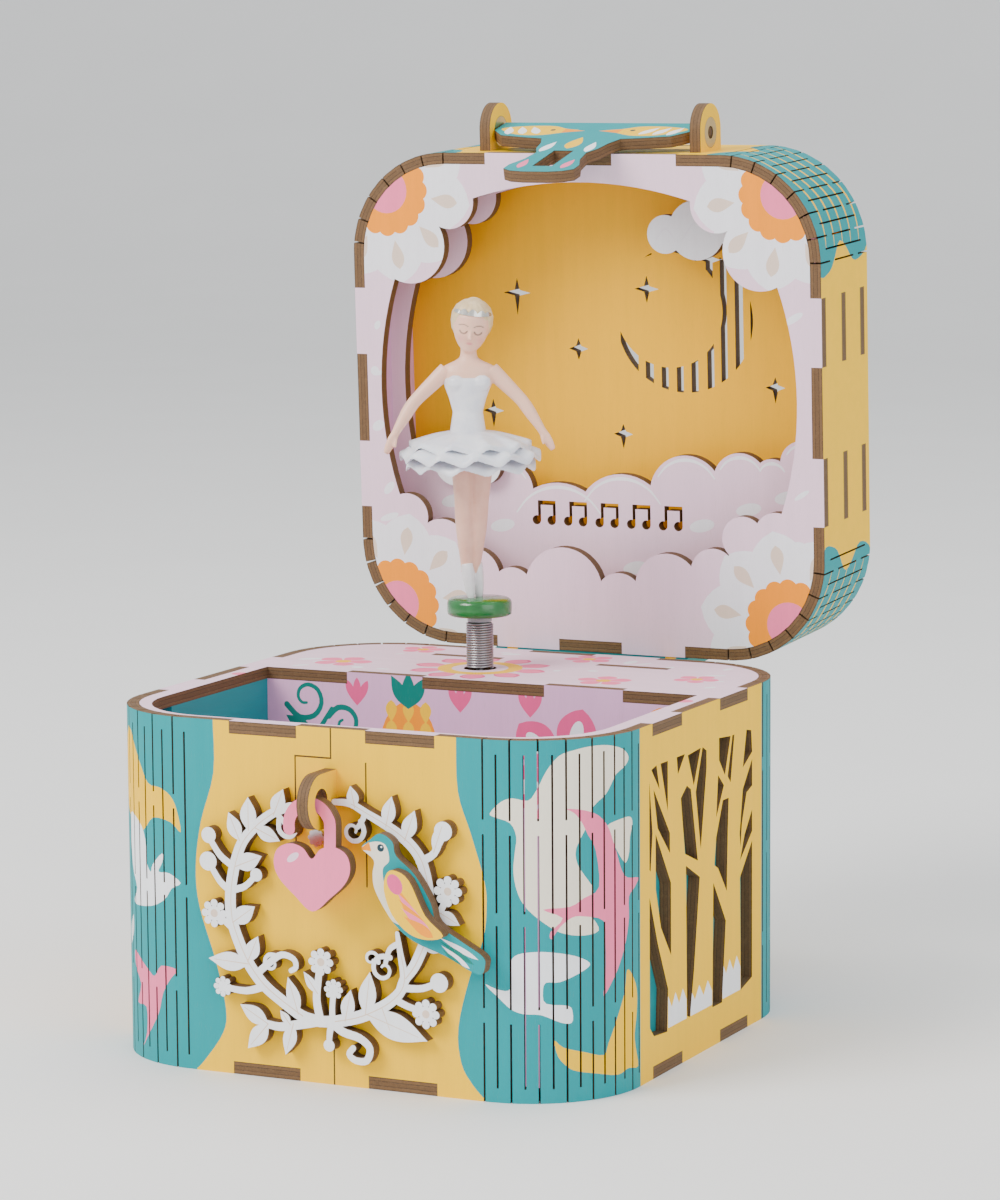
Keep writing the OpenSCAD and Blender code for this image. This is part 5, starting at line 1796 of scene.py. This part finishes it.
@dataclass
class HaspAndHinge:
    """The swinging hasp at the lid's top edge, its lugs, and the hinge at the back."""

    shop: Workshop
    droop: float = math.radians(12)
    reach: float = 34.0

    def at(self, x: float, along: float, depth: float) -> Vector:
        """Returns a point of the hasp: along its length from the pivot, depth below its printed face.

        Args:
            x: place along the pivot.
            along: distance from the pivot down the hasp.
            depth: distance below the printed face.

        Returns:
            The point in the frame.
        """
        t = PLY / 2 - depth
        c, s = math.cos(self.droop), math.sin(self.droop)
        return in_lid(x, 112.3 - along * s + t * c, 10.8 - along * c - t * s)

    def plate(self) -> None:
        """Makes the hasp with two birds facing each other."""
        half = [(1, -2.4), (1, 3.6), (0.86, 7.4), (0.6, 8.8), (0.4, 9.6), (0.34, 13), (0.31, 17), (0.25, 20), (0.28, 25),
                (0.35, 29), (0.35, 32), (0.26, 33.4), (0.12, 34)]
        right = [(23.2 * x, y) for x, y in half]
        outline = right + [(-x, y) for x, y in reversed(right)]
        art = Drawing(Ink.TEAL)
        for s in (-1, 1):
            art.add(
                [
                    (s * x, y) for x,
                    y in curve(
                        [
                            (22, 2.5), (17, 0.4), (10.5, 0.2), (6.6, 2.2), (3.0, 3.4), (6.8, 5.4), (11, 7.2),
                            (17, 6.6)
                        ]
                    )
                ],
                Ink.SUN
            )
            art.add([(s * x, y) for x, y in ((6.8, 2.3), (1.6, 3.7), (6.6, 5.2))], Ink.ORANGE)
            art.disc(s * 9.4, 3.2, 0.6, Ink.EYE)
            for k in range(3):
                art.add(petal(s * (20.5 - 2.8 * k), 1.0, 90 + s * (18 + 6 * k), 6.0, 2.0, 0.6), Ink.WHITE)
            art.add(petal(s * 4.6, 12, 90 - s * 6, 7.5, 2.2, 0.6), Ink.WHITE)
            art.add(petal(s * 5.4, 25, 90 + s * 4, 6.5, 2.0, 0.6), Ink.ROSE)
        art.add(petal(0, 8.5, 90, 8.6, 3.4, 0.6), Ink.YELLOW)
        sheet = CutSheet(
            "hasp_leaf",
            [outline],
            [Cut([rectangle(-2.3, 18.6, 2.3, 30)])],
            art,
            Drawing(Ink.TEAL),
            PLY,
            self.at
        )
        piece = sheet.build(self.shop.upright, self.shop.edge)
        self.shop.hand_over(piece, "hasp", "ply_teal", "hasp_plate")
        for s in (-1, 1):
            spine = [self.at(s * x, 0.0, PLY / 2) for x in (22.6, 23.4, 25.2, 25.9, 26.05)]
            points, faces = tube(spine, [(1.25, 1.25)] * 3 + [(1.2, 1.2), (0.8, 0.8)], 24, Vector((0, 1, 0)))
            pin = solid(f"hasp_trunnion_{'right' if s > 0 else 'left'}", points, faces, self.shop.edge)
            self.shop.hand_over(pin, "hasp", "ply_teal")

    def lugs(self) -> None:
        """Makes the two lugs that carry the hasp."""
        for s, side in ((-1, "left"), (1, "right")):
            round_top = [
                (
                    10.8 + 5.6 * math.cos(math.radians(a)), 112.9 + 5.6 * math.sin(math.radians(a))
                ) for a in range(0, 181, 9)
            ]
            lug = [(16.4, 108.4), *round_top, (5.2, 108.4)]
            x0 = s * 24.75 + PLY / 2
            sheet = CutSheet(
                f"hasp_lug_{side}", [
                    lug, rectangle(8.8, 105.9, 12.8, 109)
                ], [Cut([circle(10.8, 112.3, 3.3)])],
                Drawing(Ink.YELLOW), Drawing(Ink.YELLOW), PLY, lambda q, h, d, x0=x0: in_lid(x0 - d, h, q),
            )
            self.shop.sheet(sheet, "lid", "ply_yellow", f"hasp_ear_{side}")
            self.shop.dress(f"hasp_pivot_{side}", self.shop.brass)

    def hinge(self) -> None:
        """Finishes the hinge at the back."""
        yellow = PlainPly("hinge_ply", Ink.YELLOW, (0.06, 1.0, 1.0)).make()
        for node in ("box_ear_left", "box_ear_right", "lid_knuckle_left", "lid_knuckle_right"):
            self.shop.dress(node, yellow)
        self.shop.dress("hinge_leaf", PlainPly("hinge_leaf_ply", Ink.TEAL, (0.06, 1.0, 1.0)).make())
        self.shop.dress("hinge_pin_left", self.shop.steel)
        self.shop.dress("hinge_pin_right", self.shop.steel)

    def build(self) -> None:
        """Makes the hasp and hinge."""
        self.plate()
        self.lugs()
        self.hinge()


@dataclass
class Movement:
    """The musical movement: shown as its solids, in metal and white plastic."""

    shop: Workshop

    def build(self) -> None:
        """Finishes every part of it."""
        plastic = Resin("white_plastic", (0.80, 0.80, 0.78, 1.0), (0.66, 0.66, 0.62, 1.0), 0.4).make()
        for node in (
            "movement_bed", "music_comb", "comb_screws", "governor_frame", "turn_shaft", "key_shaft",
            "winding_key"
        ):
            self.shop.dress(node, self.shop.steel)
        for node in ("spring_case", "music_drum"):
            self.shop.dress(node, self.shop.brass)
        self.shop.dress("governor", plastic)


# ------------------------------------------------------------------------------ dancer

TURN = math.radians(25.6)


def on_stand(x: float, y: float, z: float) -> Vector:
    """Returns a point of the dancer, with z up from the table."""
    c, s = math.cos(TURN), math.sin(TURN)
    return Vector((SHAFT[0] + x * c - y * s, SHAFT[1] + x * s + y * c, z))


@dataclass
class SpringAndStand:
    """The close-wound spring, its stem and the green stand."""

    shop: Workshop
    turns: int = 18
    wire: float = 0.27

    def build(self) -> None:
        """Makes the coil, and finishes the stem and stand."""
        n = self.turns * 24
        z0, z1, r = 70.6, 80.2, 2.9 - self.wire
        spine, sizes = [], []
        for i in range(n + 1):
            a = 2 * math.pi * i / 24
            spine.append(
                Vector((SHAFT[0] + r * math.cos(a), SHAFT[1] + r * math.sin(a), z0 + (z1 - z0) * i / n))
            )
            sizes.append((self.wire, self.wire))
        points, faces = tube(spine, sizes, 8, Vector((0, 0, 1)))
        coil = solid("coil_spring", points, faces, self.shop.dark_steel, 60)
        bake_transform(coil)
        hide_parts("spring_lower", "spring_upper")
        log.info("%-24s bends from base to stem", coil.name)
        grey = Resin("stem_grey", (0.42, 0.43, 0.45, 1.0), (0.34, 0.35, 0.37, 1.0), 0.4).make()
        self.shop.dress("figure_stem", grey)
        green = Resin(
            "stand_green", (0.006, 0.13, 0.020, 1.0), (0.014, 0.20, 0.036, 1.0), 0.22, coat=0.5
        ).make()
        profile = [
            (0.1, 81.8), (6.2, 81.8), (6.7, 82.1), (6.8, 82.7), (6.8, 84.4), (6.6, 85.0), (6.1, 85.35),
            (3.0, 85.6), (0.1, 85.7)
        ]
        points, faces = tube([on_stand(0, 0, z) for _, z in profile], [(q, q) for q, _ in profile], 64)
        stand = solid("green_stand", points, faces, green, 50)
        self.shop.hand_over(stand, "dancer", "green", "figure_disc")


@dataclass
class Dancer:
    """The resin ballerina: legs together on points, layered tutu, arms held low and wide."""

    shop: Workshop
    axis: float = -1.9

    def soft(
        self,
        name: str,
        parts: list[tuple[list[Vector], list[Point], Vector]],
        finish: bpy.types.Material,
        voxel: float
    ) -> bpy.types.Object:
        """Melts swept parts into one smooth piece.

        Args:
            name: the piece's name.
            parts: spine, sizes and width direction of each part.
            finish: its material.
            voxel: the melt's cell in millimetres.

        Returns:
            The piece.
        """
        points: list[Vector] = []
        faces: list[tuple[int, ...]] = []
        for spine, sizes, side in parts:
            more, ring = tube(spine, sizes, 28, side, len(points))
            points += more
            faces += ring
        rough = solid(name, points, faces, finish)
        melt = rough.modifiers.new("melt", "REMESH")
        melt.mode, melt.voxel_size, melt.use_smooth_shade = "VOXEL", voxel * MM, True
        ease = rough.modifiers.new("ease", "SMOOTH")
        ease.factor, ease.iterations = 0.5, 6
        graph = bpy.context.evaluated_depsgraph_get()
        mesh = bpy.data.meshes.new_from_object(rough.evaluated_get(graph))
        rough.modifiers.clear()
        rough.data = mesh
        if not mesh.materials:
            mesh.materials.append(finish)
        mesh.polygons.foreach_set("use_smooth", [True] * len(mesh.polygons))
        return rough

    def tilt(self, p: Vector, back: bool = False) -> Vector:
        """Tilts a point of the head about the neck, or takes the tilt off again.

        Args:
            p: a point of the head.
            back: whether the tilt is taken off.

        Returns:
            The moved point.
        """
        neck = Vector((self.axis, 0, 137.5))
        turn = Matrix.Rotation(math.radians(7), 3, "Y") @ Matrix.Rotation(math.radians(9), 3, "X")
        turn = turn.transposed() if back else turn
        return neck + turn @ (p - neck)

    def head_rings(self) -> tuple[list[Vector], list[Point]]:
        """Returns the head's rings from chin to crown."""
        rows = (
            (
                137.5, -2.3, 0.8, 0.8
            ), (138.1, -1.9, 1.6, 1.6), (138.9, -1.3, 2.4, 2.5), (140.0, -0.8, 3.1, 3.2),
            (141.4, -0.4, 3.6, 3.7), (143.0, 0.0, 3.85, 4.1), (144.8, 0.1, 3.75, 4.1), (146.2, 0.2, 3.0, 3.4),
            (147.1, 0.3, 1.9, 2.2), (147.5, 0.3, 0.8, 1.0),
        )
        spine = [self.tilt(Vector((self.axis, y, z))) for z, y, _, _ in rows]
        return [on_stand(*p) for p in spine], [(a, b) for _, _, a, b in rows]

    def skin(self) -> None:
        """Makes the head, neck, chest, arms and hands in one piece, and paints the face."""
        across = on_stand(1, 0, 0) - on_stand(0, 0, 0)
        x = self.axis
        parts = []
        chest = (
            (129.6, 4.6, 2.9), (131.4, 5.2, 3.1), (133.0, 5.6, 2.9), (134.3, 5.0, 2.5), (135.2, 3.0, 2.0),
            (135.9, 1.9, 1.8), (137.0, 1.65, 1.65), (139.0, 1.7, 1.7)
        )
        parts.append(([on_stand(x, 0, z) for z, _, _ in chest], [(a, b) for _, a, b in chest], across))
        parts.append((*self.head_rings(), across))
        nose = [
            self.tilt(Vector((x, y, z))) for y,
            z in ((-3.75, 142.6), (-4.1, 141.6), (-4.55, 140.9), (-3.9, 140.6))
        ]
        parts.append(
            ([on_stand(*p) for p in nose], [(0.3, 0.3), (0.4, 0.4), (0.55, 0.45), (0.3, 0.3)], across)
        )
        for s, elbow, wrist, hand in (
            (-1, (-13.6, -0.8, 126.6), (-17.3, -2.2, 120.4), (-19.3, -2.9, 116.2)),
            (1, (9.2, -0.8, 127.0), (13.3, -2.2, 120.8), (15.6, -2.9, 116.8))
        ):
            shoulder = (x + s * 4.6, 0, 133.4)
            line = [Vector(shoulder)]
            for a, b, steps in (
                (Vector(shoulder), Vector(elbow), 5),
                (Vector(elbow), Vector(wrist), 5),
                (Vector(wrist), Vector(hand), 3)
            ):
                line += [a.lerp(b, k / steps) for k in range(1, steps + 1)]
            widths = [1.75, 1.7, 1.6, 1.5, 1.4, 1.35, 1.35, 1.3, 1.15, 1.0, 0.85, 1.05, 0.95, 0.6]
            smooth = [line[0]] + [
                (line[k - 1] + line[k] * 2 + line[k + 1]) / 4 for k in range(1, len(line) - 1)
            ] + [line[-1]]
            parts.append(
                (
                    [on_stand(*p) for p in smooth],
                    [(w, w * (0.62 if k > 10 else 1)) for k, w in enumerate(widths)],
                    Vector((0, 0, 1))
                )
            )
            thumb = [
                Vector(wrist).lerp(Vector(hand), 0.3) + Vector((-s * 0.7, -0.4, 0)),
                Vector(wrist).lerp(Vector(hand), 0.7) + Vector((-s * 1.3, -0.7, 0))
            ]
            parts.append(([on_stand(*p) for p in thumb], [(0.42, 0.42), (0.3, 0.3)], Vector((0, 1, 0))))
        piece = self.soft("dancer_skin", parts, PaintedFace("painted_skin").make(), 0.2)
        self.paint(piece)
        self.shop.hand_over(piece, "dancer", "skin", "figure_skin")

    def paint(self, piece: bpy.types.Object) -> None:
        """Paints calm closed eyes, brows, lips and cheeks on the skin.

        Args:
            piece: the skin piece.
        """
        mesh = piece.data
        layer = mesh.color_attributes.new("ink", "FLOAT_COLOR", "POINT")
        base, rose, brown = (0.90, 0.54, 0.39), (0.78, 0.24, 0.24), (0.16, 0.08, 0.05)
        c, s = math.cos(-TURN), math.sin(-TURN)
        colours: list[float] = []
        for vertex in mesh.vertices:
            p = vertex.co / MM - Vector((SHAFT[0], SHAFT[1], 0))
            local = self.tilt(Vector((p.x * c - p.y * s, p.x * s + p.y * c, p.z)), back=True)
            u, h = local.x - self.axis, local.z
            tone = list(base)

            def blend(ink: tuple[float, float, float], share: float) -> None:
                """Lays some ink over the tone."""
                for k in range(3):
                    tone[k] += (ink[k] - tone[k]) * max(0.0, min(1.0, share))

            if local.y < -1.6 and 138 < h < 146:
                for side in (-1, 1):
                    blend(rose, 0.38 * (1 - math.hypot(u - side * 2.1, h - 140.5) / 1.3))
                    away = math.hypot(u - side * 1.55, h - 142.5)
                    if h < 142.35:
                        blend(brown, 1.6 - abs(away - 0.8) / 0.13)
                    brow = math.hypot(u - side * 1.6, h - 142.0)
                    if h > 143.2:
                        blend(brown, (1.4 - abs(brow - 1.6) / 0.12) * 0.7)
                blend(rose, 2.0 - 2.0 * math.hypot(u / 0.85, (h - 139.6) / 0.34))
            colours.extend((*tone, 1.0))
        layer.data.foreach_set("color", colours)

    def hair(self) -> None:
        """Makes hair drawn back into a coiled bun, and a tiara."""
        blond = Resin("blond_hair", (0.80, 0.62, 0.36, 1.0), (0.62, 0.43, 0.21, 1.0), 0.45).make()
        rows = (
            (140.2, 1.8, 3.3, 2.6), (141.6, 1.35, 4.0, 3.6), (143.2, 0.95, 4.35, 4.2),
            (145.0, 0.75, 4.3, 4.35), (146.6, 0.6, 3.6, 3.9), (147.7, 0.5, 2.4, 2.8), (148.2, 0.5, 1.0, 1.2)
        )
        points: list[Vector] = []
        n = 96
        for z, y, a, b in rows:
            for k in range(n):
                t = 2 * math.pi * k / n
                w = 1 + 0.022 * math.sin(16 * t + 0.5 * z)
                points.append(
                    on_stand(
                        *self.tilt(Vector((self.axis + a * w * math.cos(t), y + b * w * math.sin(t), z)))
                    )
                )
        faces = [
            tuple(
                (i * n + k, i * n + (k + 1) % n, (i + 1) * n + (k + 1) % n, (i + 1) * n + k)
            ) for i in range(len(rows) - 1) for k in range(n)
        ]
        faces += [tuple(reversed(range(n))), tuple((len(rows) - 1) * n + k for k in range(n))]
        cap = solid("dancer_hair", points, faces, blond, 70)
        self.shop.hand_over(cap, "dancer", "hair", "figure_hair")
        spine = []
        for i in range(61):
            a, t = 2 * math.pi * 2.6 * i / 60, i / 60
            q = 1.75 * (1 - t) + 0.25
            spine.append(
                on_stand(
                    *self.tilt(Vector((self.axis + q * math.cos(a), 4.2 + 1.3 * t, 145.4 + q * math.sin(a))))
                )
            )
        points, faces = tube(spine, [(0.62, 0.62)] * 61, 12, Vector((0, 1, 0.1)))
        self.shop.hand_over(solid("hair_bun", points, faces, blond, 70), "dancer", "hair")
        silver = Metal("tiara_silver", (0.80, 0.78, 0.72, 1.0), 0.18).make()
        points, faces = [], []
        m = 40
        for k in range(m + 1):
            a = math.radians(200 + 140 * k / m)
            peak = 0.5 + 0.9 * abs(math.sin(math.pi * 5 * k / m)) * math.sin(math.pi * k / m)
            for r, z in ((4.25, 145.6), (4.0, 145.6 + peak), (3.8, 145.6 + peak), (4.05, 145.6)):
                points.append(
                    on_stand(
                        *self.tilt(Vector((self.axis + r * math.cos(a), 0.45 + r * 1.02 * math.sin(a), z)))
                    )
                )
        for k in range(m):
            for j in range(4):
                faces.append((4 * k + j, 4 * k + (j + 1) % 4, 4 * k + 4 + (j + 1) % 4, 4 * k + 4 + j))
        faces += [(3, 2, 1, 0), (4 * m, 4 * m + 1, 4 * m + 2, 4 * m + 3)]
        self.shop.hand_over(
            solid("dancer_tiara", points, faces, silver, 35), "dancer", "white_plastic", "figure_tiara"
        )

    def legs(self) -> None:
        """Makes the legs and the pointed shoes."""
        across = on_stand(1, 0, 0) - on_stand(0, 0, 0)
        tights = Resin("painted_legs", (0.90, 0.54, 0.39, 1.0), (0.84, 0.46, 0.33, 1.0), 0.36, 0.12).make()
        parts = []
        shoes = []
        for s in (-1, 1):
            rows = (
                (90.5, 0.9, 1.15), (93.0, 1.15, 1.35), (96.5, 1.55, 1.85), (100, 1.9, 2.2), (103, 2.0, 2.3),
                (106, 2.0, 2.1), (110, 2.25, 2.4), (115, 2.5, 2.6)
            )
            parts.append(
                (
                    [
                        on_stand(
                            -1.7 + s * (0.9 + (z - 90) * 0.045) - 0.02 * (96 - z),
                            s * 0.5 * (1 - (z - 90) / 25),
                            z
                        ) for z,
                        _,
                        _ in rows
                    ],
                    [(a, b) for _, a, b in rows],
                    across
                )
            )
            tip = (
                (85.3, 0.55, 0.5), (86.2, 0.9, 0.8), (88, 1.15, 1.1), (90, 1.3, 1.35), (92, 1.3, 1.45),
                (92.8, 1.2, 1.35)
            )
            shoes.append(
                (
                    [
                        on_stand(
                            -0.9 + s * (0.85 + 0.02 * (z - 85)) - 0.1 * (z - 86),
                            s * 0.9 - 0.6 * (92 - z) / 6,
                            z
                        ) for z,
                        _,
                        _ in tip
                    ],
                    [(a, b) for _, a, b in tip],
                    across
                )
            )
        self.shop.hand_over(
            self.soft("dancer_legs", parts, tights, 0.22), "dancer", "white_plastic", "figure_legs"
        )
        satin = Resin("satin_shoes", (0.86, 0.84, 0.84, 1.0), (0.76, 0.72, 0.74, 1.0), 0.25, coat=0.5).make()
        self.shop.hand_over(
            self.soft("ballet_shoes", shoes, satin, 0.18), "dancer", "white_plastic", "figure_shoes"
        )

    def dress_up(self) -> None:
        """Makes the bodice and the ruffled layers of the tutu."""
        across = on_stand(1, 0, 0) - on_stand(0, 0, 0)
        satin = Resin(
            "bodice_satin", (0.84, 0.84, 0.87, 1.0), (0.72, 0.73, 0.80, 1.0), 0.3, sparkle=0.5, coat=0.4
        ).make()
        rows = (
            (118.2, 4.3, 3.6), (121.0, 3.7, 3.0), (124.6, 3.15, 2.6), (127.4, 3.9, 3.1), (129.8, 4.8, 3.6),
            (131.2, 5.2, 3.6), (131.9, 5.0, 3.2)
        )
        parts = [
            ([on_stand(self.axis - 0.25, 0, z) for z, _, _ in rows], [(a, b) for _, a, b in rows], across)
        ]
        for s in (-1, 1):
            bust = ((129.2, 1.2), (130.4, 1.9), (131.6, 1.8), (132.4, 0.9))
            parts.append(
                (
                    [on_stand(self.axis + s * 2.5, -1.9, z) for z, _ in bust],
                    [(q * 1.1, q) for _, q in bust],
                    across
                )
            )
        self.shop.hand_over(self.soft("dancer_bodice", parts, satin, 0.2), "dancer", "tulle", "figure_bodice")
        tulle = Resin(
            "pearl_tulle", (0.83, 0.84, 0.88, 1.0), (0.72, 0.74, 0.82, 1.0), 0.42, 0.12, 0.8, 0.2
        ).make()
        n, rings = 220, 12
        for layer, (reach, low, top, waves, sag, phase) in enumerate(
            (
                (13.4, 113.4, 118.0, 11, 2.2, 0.6), (14.5, 115.4, 119.4, 12, 2.4, 0.0),
                (12.6, 117.6, 120.4, 10, 2.0, 1.1)
            )
        ):
            upper, lower = [], []
            for i in range(rings + 1):
                t = i / rings
                r = 2.6 + (reach - 2.6) * t
                for k in range(n):
                    a = 2 * math.pi * k / n
                    ruffle = math.sin(waves * a + phase) + 0.22 * math.sin(2 * waves * a + 2 * phase)
                    z = top - (top - low) * t**1.7 + sag * 0.27 * ruffle * t**2.4
                    q = r * (1 + 0.02 * math.cos(waves * a + phase) * t)
                    fine = 0.06 * math.sin(90 * a) * t
                    upper.append(
                        on_stand(
                            self.axis + 0.2 + q * math.cos(a), q * math.sin(a), z + fine + 0.2 + 0.25 * t
                        )
                    )
                    lower.append(
                        on_stand(
                            self.axis + 0.2 + q * math.cos(a), q * math.sin(a), z + fine - 0.2 - 0.25 * t
                        )
                    )
            m = (rings + 1) * n
            faces = []
            for i in range(rings):
                for k in range(n):
                    a, b, c, d = i * n + k, i * n + (k + 1) % n, (i + 1) * n + (k + 1) % n, (i + 1) * n + k
                    faces += [(a, d, c, b), (m + a, m + b, m + c, m + d)]
            for k in range(n):
                j = (k + 1) % n
                faces += [
                    (rings * n + j, rings * n + k, m + rings * n + k, m + rings * n + j), (k, j, m + j, m + k)
                ]
            skirt = solid(f"tutu_layer_{layer + 1}", upper + lower, faces, tulle, 80)
            self.shop.hand_over(skirt, "dancer", "tulle", *(("figure_tutu",) if layer == 1 else ()))

    def build(self) -> None:
        """Makes the dancer."""
        self.legs()
        self.dress_up()
        self.skin()
        self.hair()


# ------------------------------------------------------------------------------ studio


@dataclass
class Studio:
    """A pale table, soft lamps and the camera."""

    eye: tuple[float, float, float] = (386.4, -784.9, 207.4)
    yaw: float = 0.4466
    pitch: float = -0.135
    roll: float = -0.0069
    lens: float = 130.13

    def table(self) -> None:
        """Makes the pale floor."""
        look = Look("pale_table")
        haze = look.noise((1.0, 1.0, 1.0), 14.0, 3.0)
        fine = look.noise((1.0, 1.0, 1.0), 700.0, 3.0)
        look.feed(
            Base_Color=look.mix(haze, (0.88, 0.88, 0.87, 1.0), (0.84, 0.84, 0.83, 1.0)),
            Roughness=0.62 + 0.1 * fine,
            Normal=look.bump(fine, 0.1, 0.0001),
        )
        mesh = bpy.data.meshes.new("table_top")
        sweep = (
            (-4.0, 0.0), (1.6, 0.0), (1.9, 0.03), (2.15, 0.12), (2.35, 0.3), (2.48, 0.55), (2.5, 0.9),
            (2.5, 5.0)
        )
        mesh.from_pydata(
            [(x, y, z) for y, z in sweep for x in (-7.0, 7.0)],
            [],
            [(2 * i, 2 * i + 1, 2 * i + 3, 2 * i + 2) for i in range(len(sweep) - 1)],
        )
        mesh.materials.append(look.material)
        mesh.polygons.foreach_set("use_smooth", [True] * len(mesh.polygons))
        top = bpy.data.objects.new("table_top", mesh)
        bpy.context.scene.collection.objects.link(top)

    def lamp(
        self, name: str, place: tuple[float, float, float], power: float, size: float,
        colour: tuple[float, float, float]
    ) -> None:
        """Adds a soft lamp aimed at the box.

        Args:
            name: the lamp's name.
            place: where it stands.
            power: its power in watts.
            size: its width in metres.
            colour: the light's colour.
        """
        light = bpy.data.lights.new(name, "AREA")
        light.energy, light.size, light.color = power, size, colour
        made = bpy.data.objects.new(name, light)
        made.location = place
        made.rotation_euler = (Vector((0, 0, 0.09)) - Vector(place)).to_track_quat("-Z", "Y").to_euler()
        bpy.context.scene.collection.objects.link(made)

    def camera(self) -> None:
        """Adds the camera."""
        cy, sy, cp, sp = math.cos(self.yaw), math.sin(self.yaw), math.cos(self.pitch), math.sin(self.pitch)
        ahead = Vector((-sy * cp, cy * cp, sp))
        right = ahead.cross(Vector((0, 0, 1))).normalized()
        up = right.cross(ahead)
        c, s = math.cos(self.roll), math.sin(self.roll)
        right, up = c * right + s * up, -s * right + c * up
        data = bpy.data.cameras.new("camera")
        data.lens, data.sensor_width, data.sensor_fit = self.lens, 36.0, "AUTO"
        data.clip_start, data.clip_end = 0.05, 50.0
        made = bpy.data.objects.new("camera", data)
        turn = Matrix((right, up, -ahead)).transposed().to_4x4()
        made.matrix_world = Matrix.Translation(Vector(self.eye) * MM) @ turn
        bpy.context.scene.collection.objects.link(made)
        bpy.context.scene.camera = made

    def build(self) -> None:
        """Sets the whole studio."""
        self.table()
        world = bpy.data.worlds.new("soft_room")
        world.use_nodes = True
        world.node_tree.nodes["Background"].inputs[0].default_value = (0.95, 0.97, 1.0, 1.0)
        world.node_tree.nodes["Background"].inputs[1].default_value = 1.0
        bpy.context.scene.world = world
        self.lamp("key_lamp", (-0.55, -0.75, 0.85), 15.0, 0.6, (1.0, 0.97, 0.93))
        self.lamp("fill_lamp", (0.95, -0.60, 0.50), 5.0, 0.9, (0.95, 0.97, 1.0))
        self.lamp("top_lamp", (0.05, 0.35, 1.10), 5.0, 0.8, (1.0, 1.0, 1.0))
        self.camera()


def main() -> None:
    """Builds every sub-assembly in order."""
    logging.basicConfig(level=logging.INFO, format="%(message)s")
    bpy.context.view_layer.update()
    shop = Workshop()
    for part in (
        BoxShell(shop), FrontOrnaments(shop), LidShell(shop), HaspAndHinge(shop), Movement(shop), SpringAndStand(shop),
        Dancer(shop), Studio(),
    ):
        part.build()
    log.info("%d pieces handed over", shop.made)


if __name__ == "__main__":
    main()
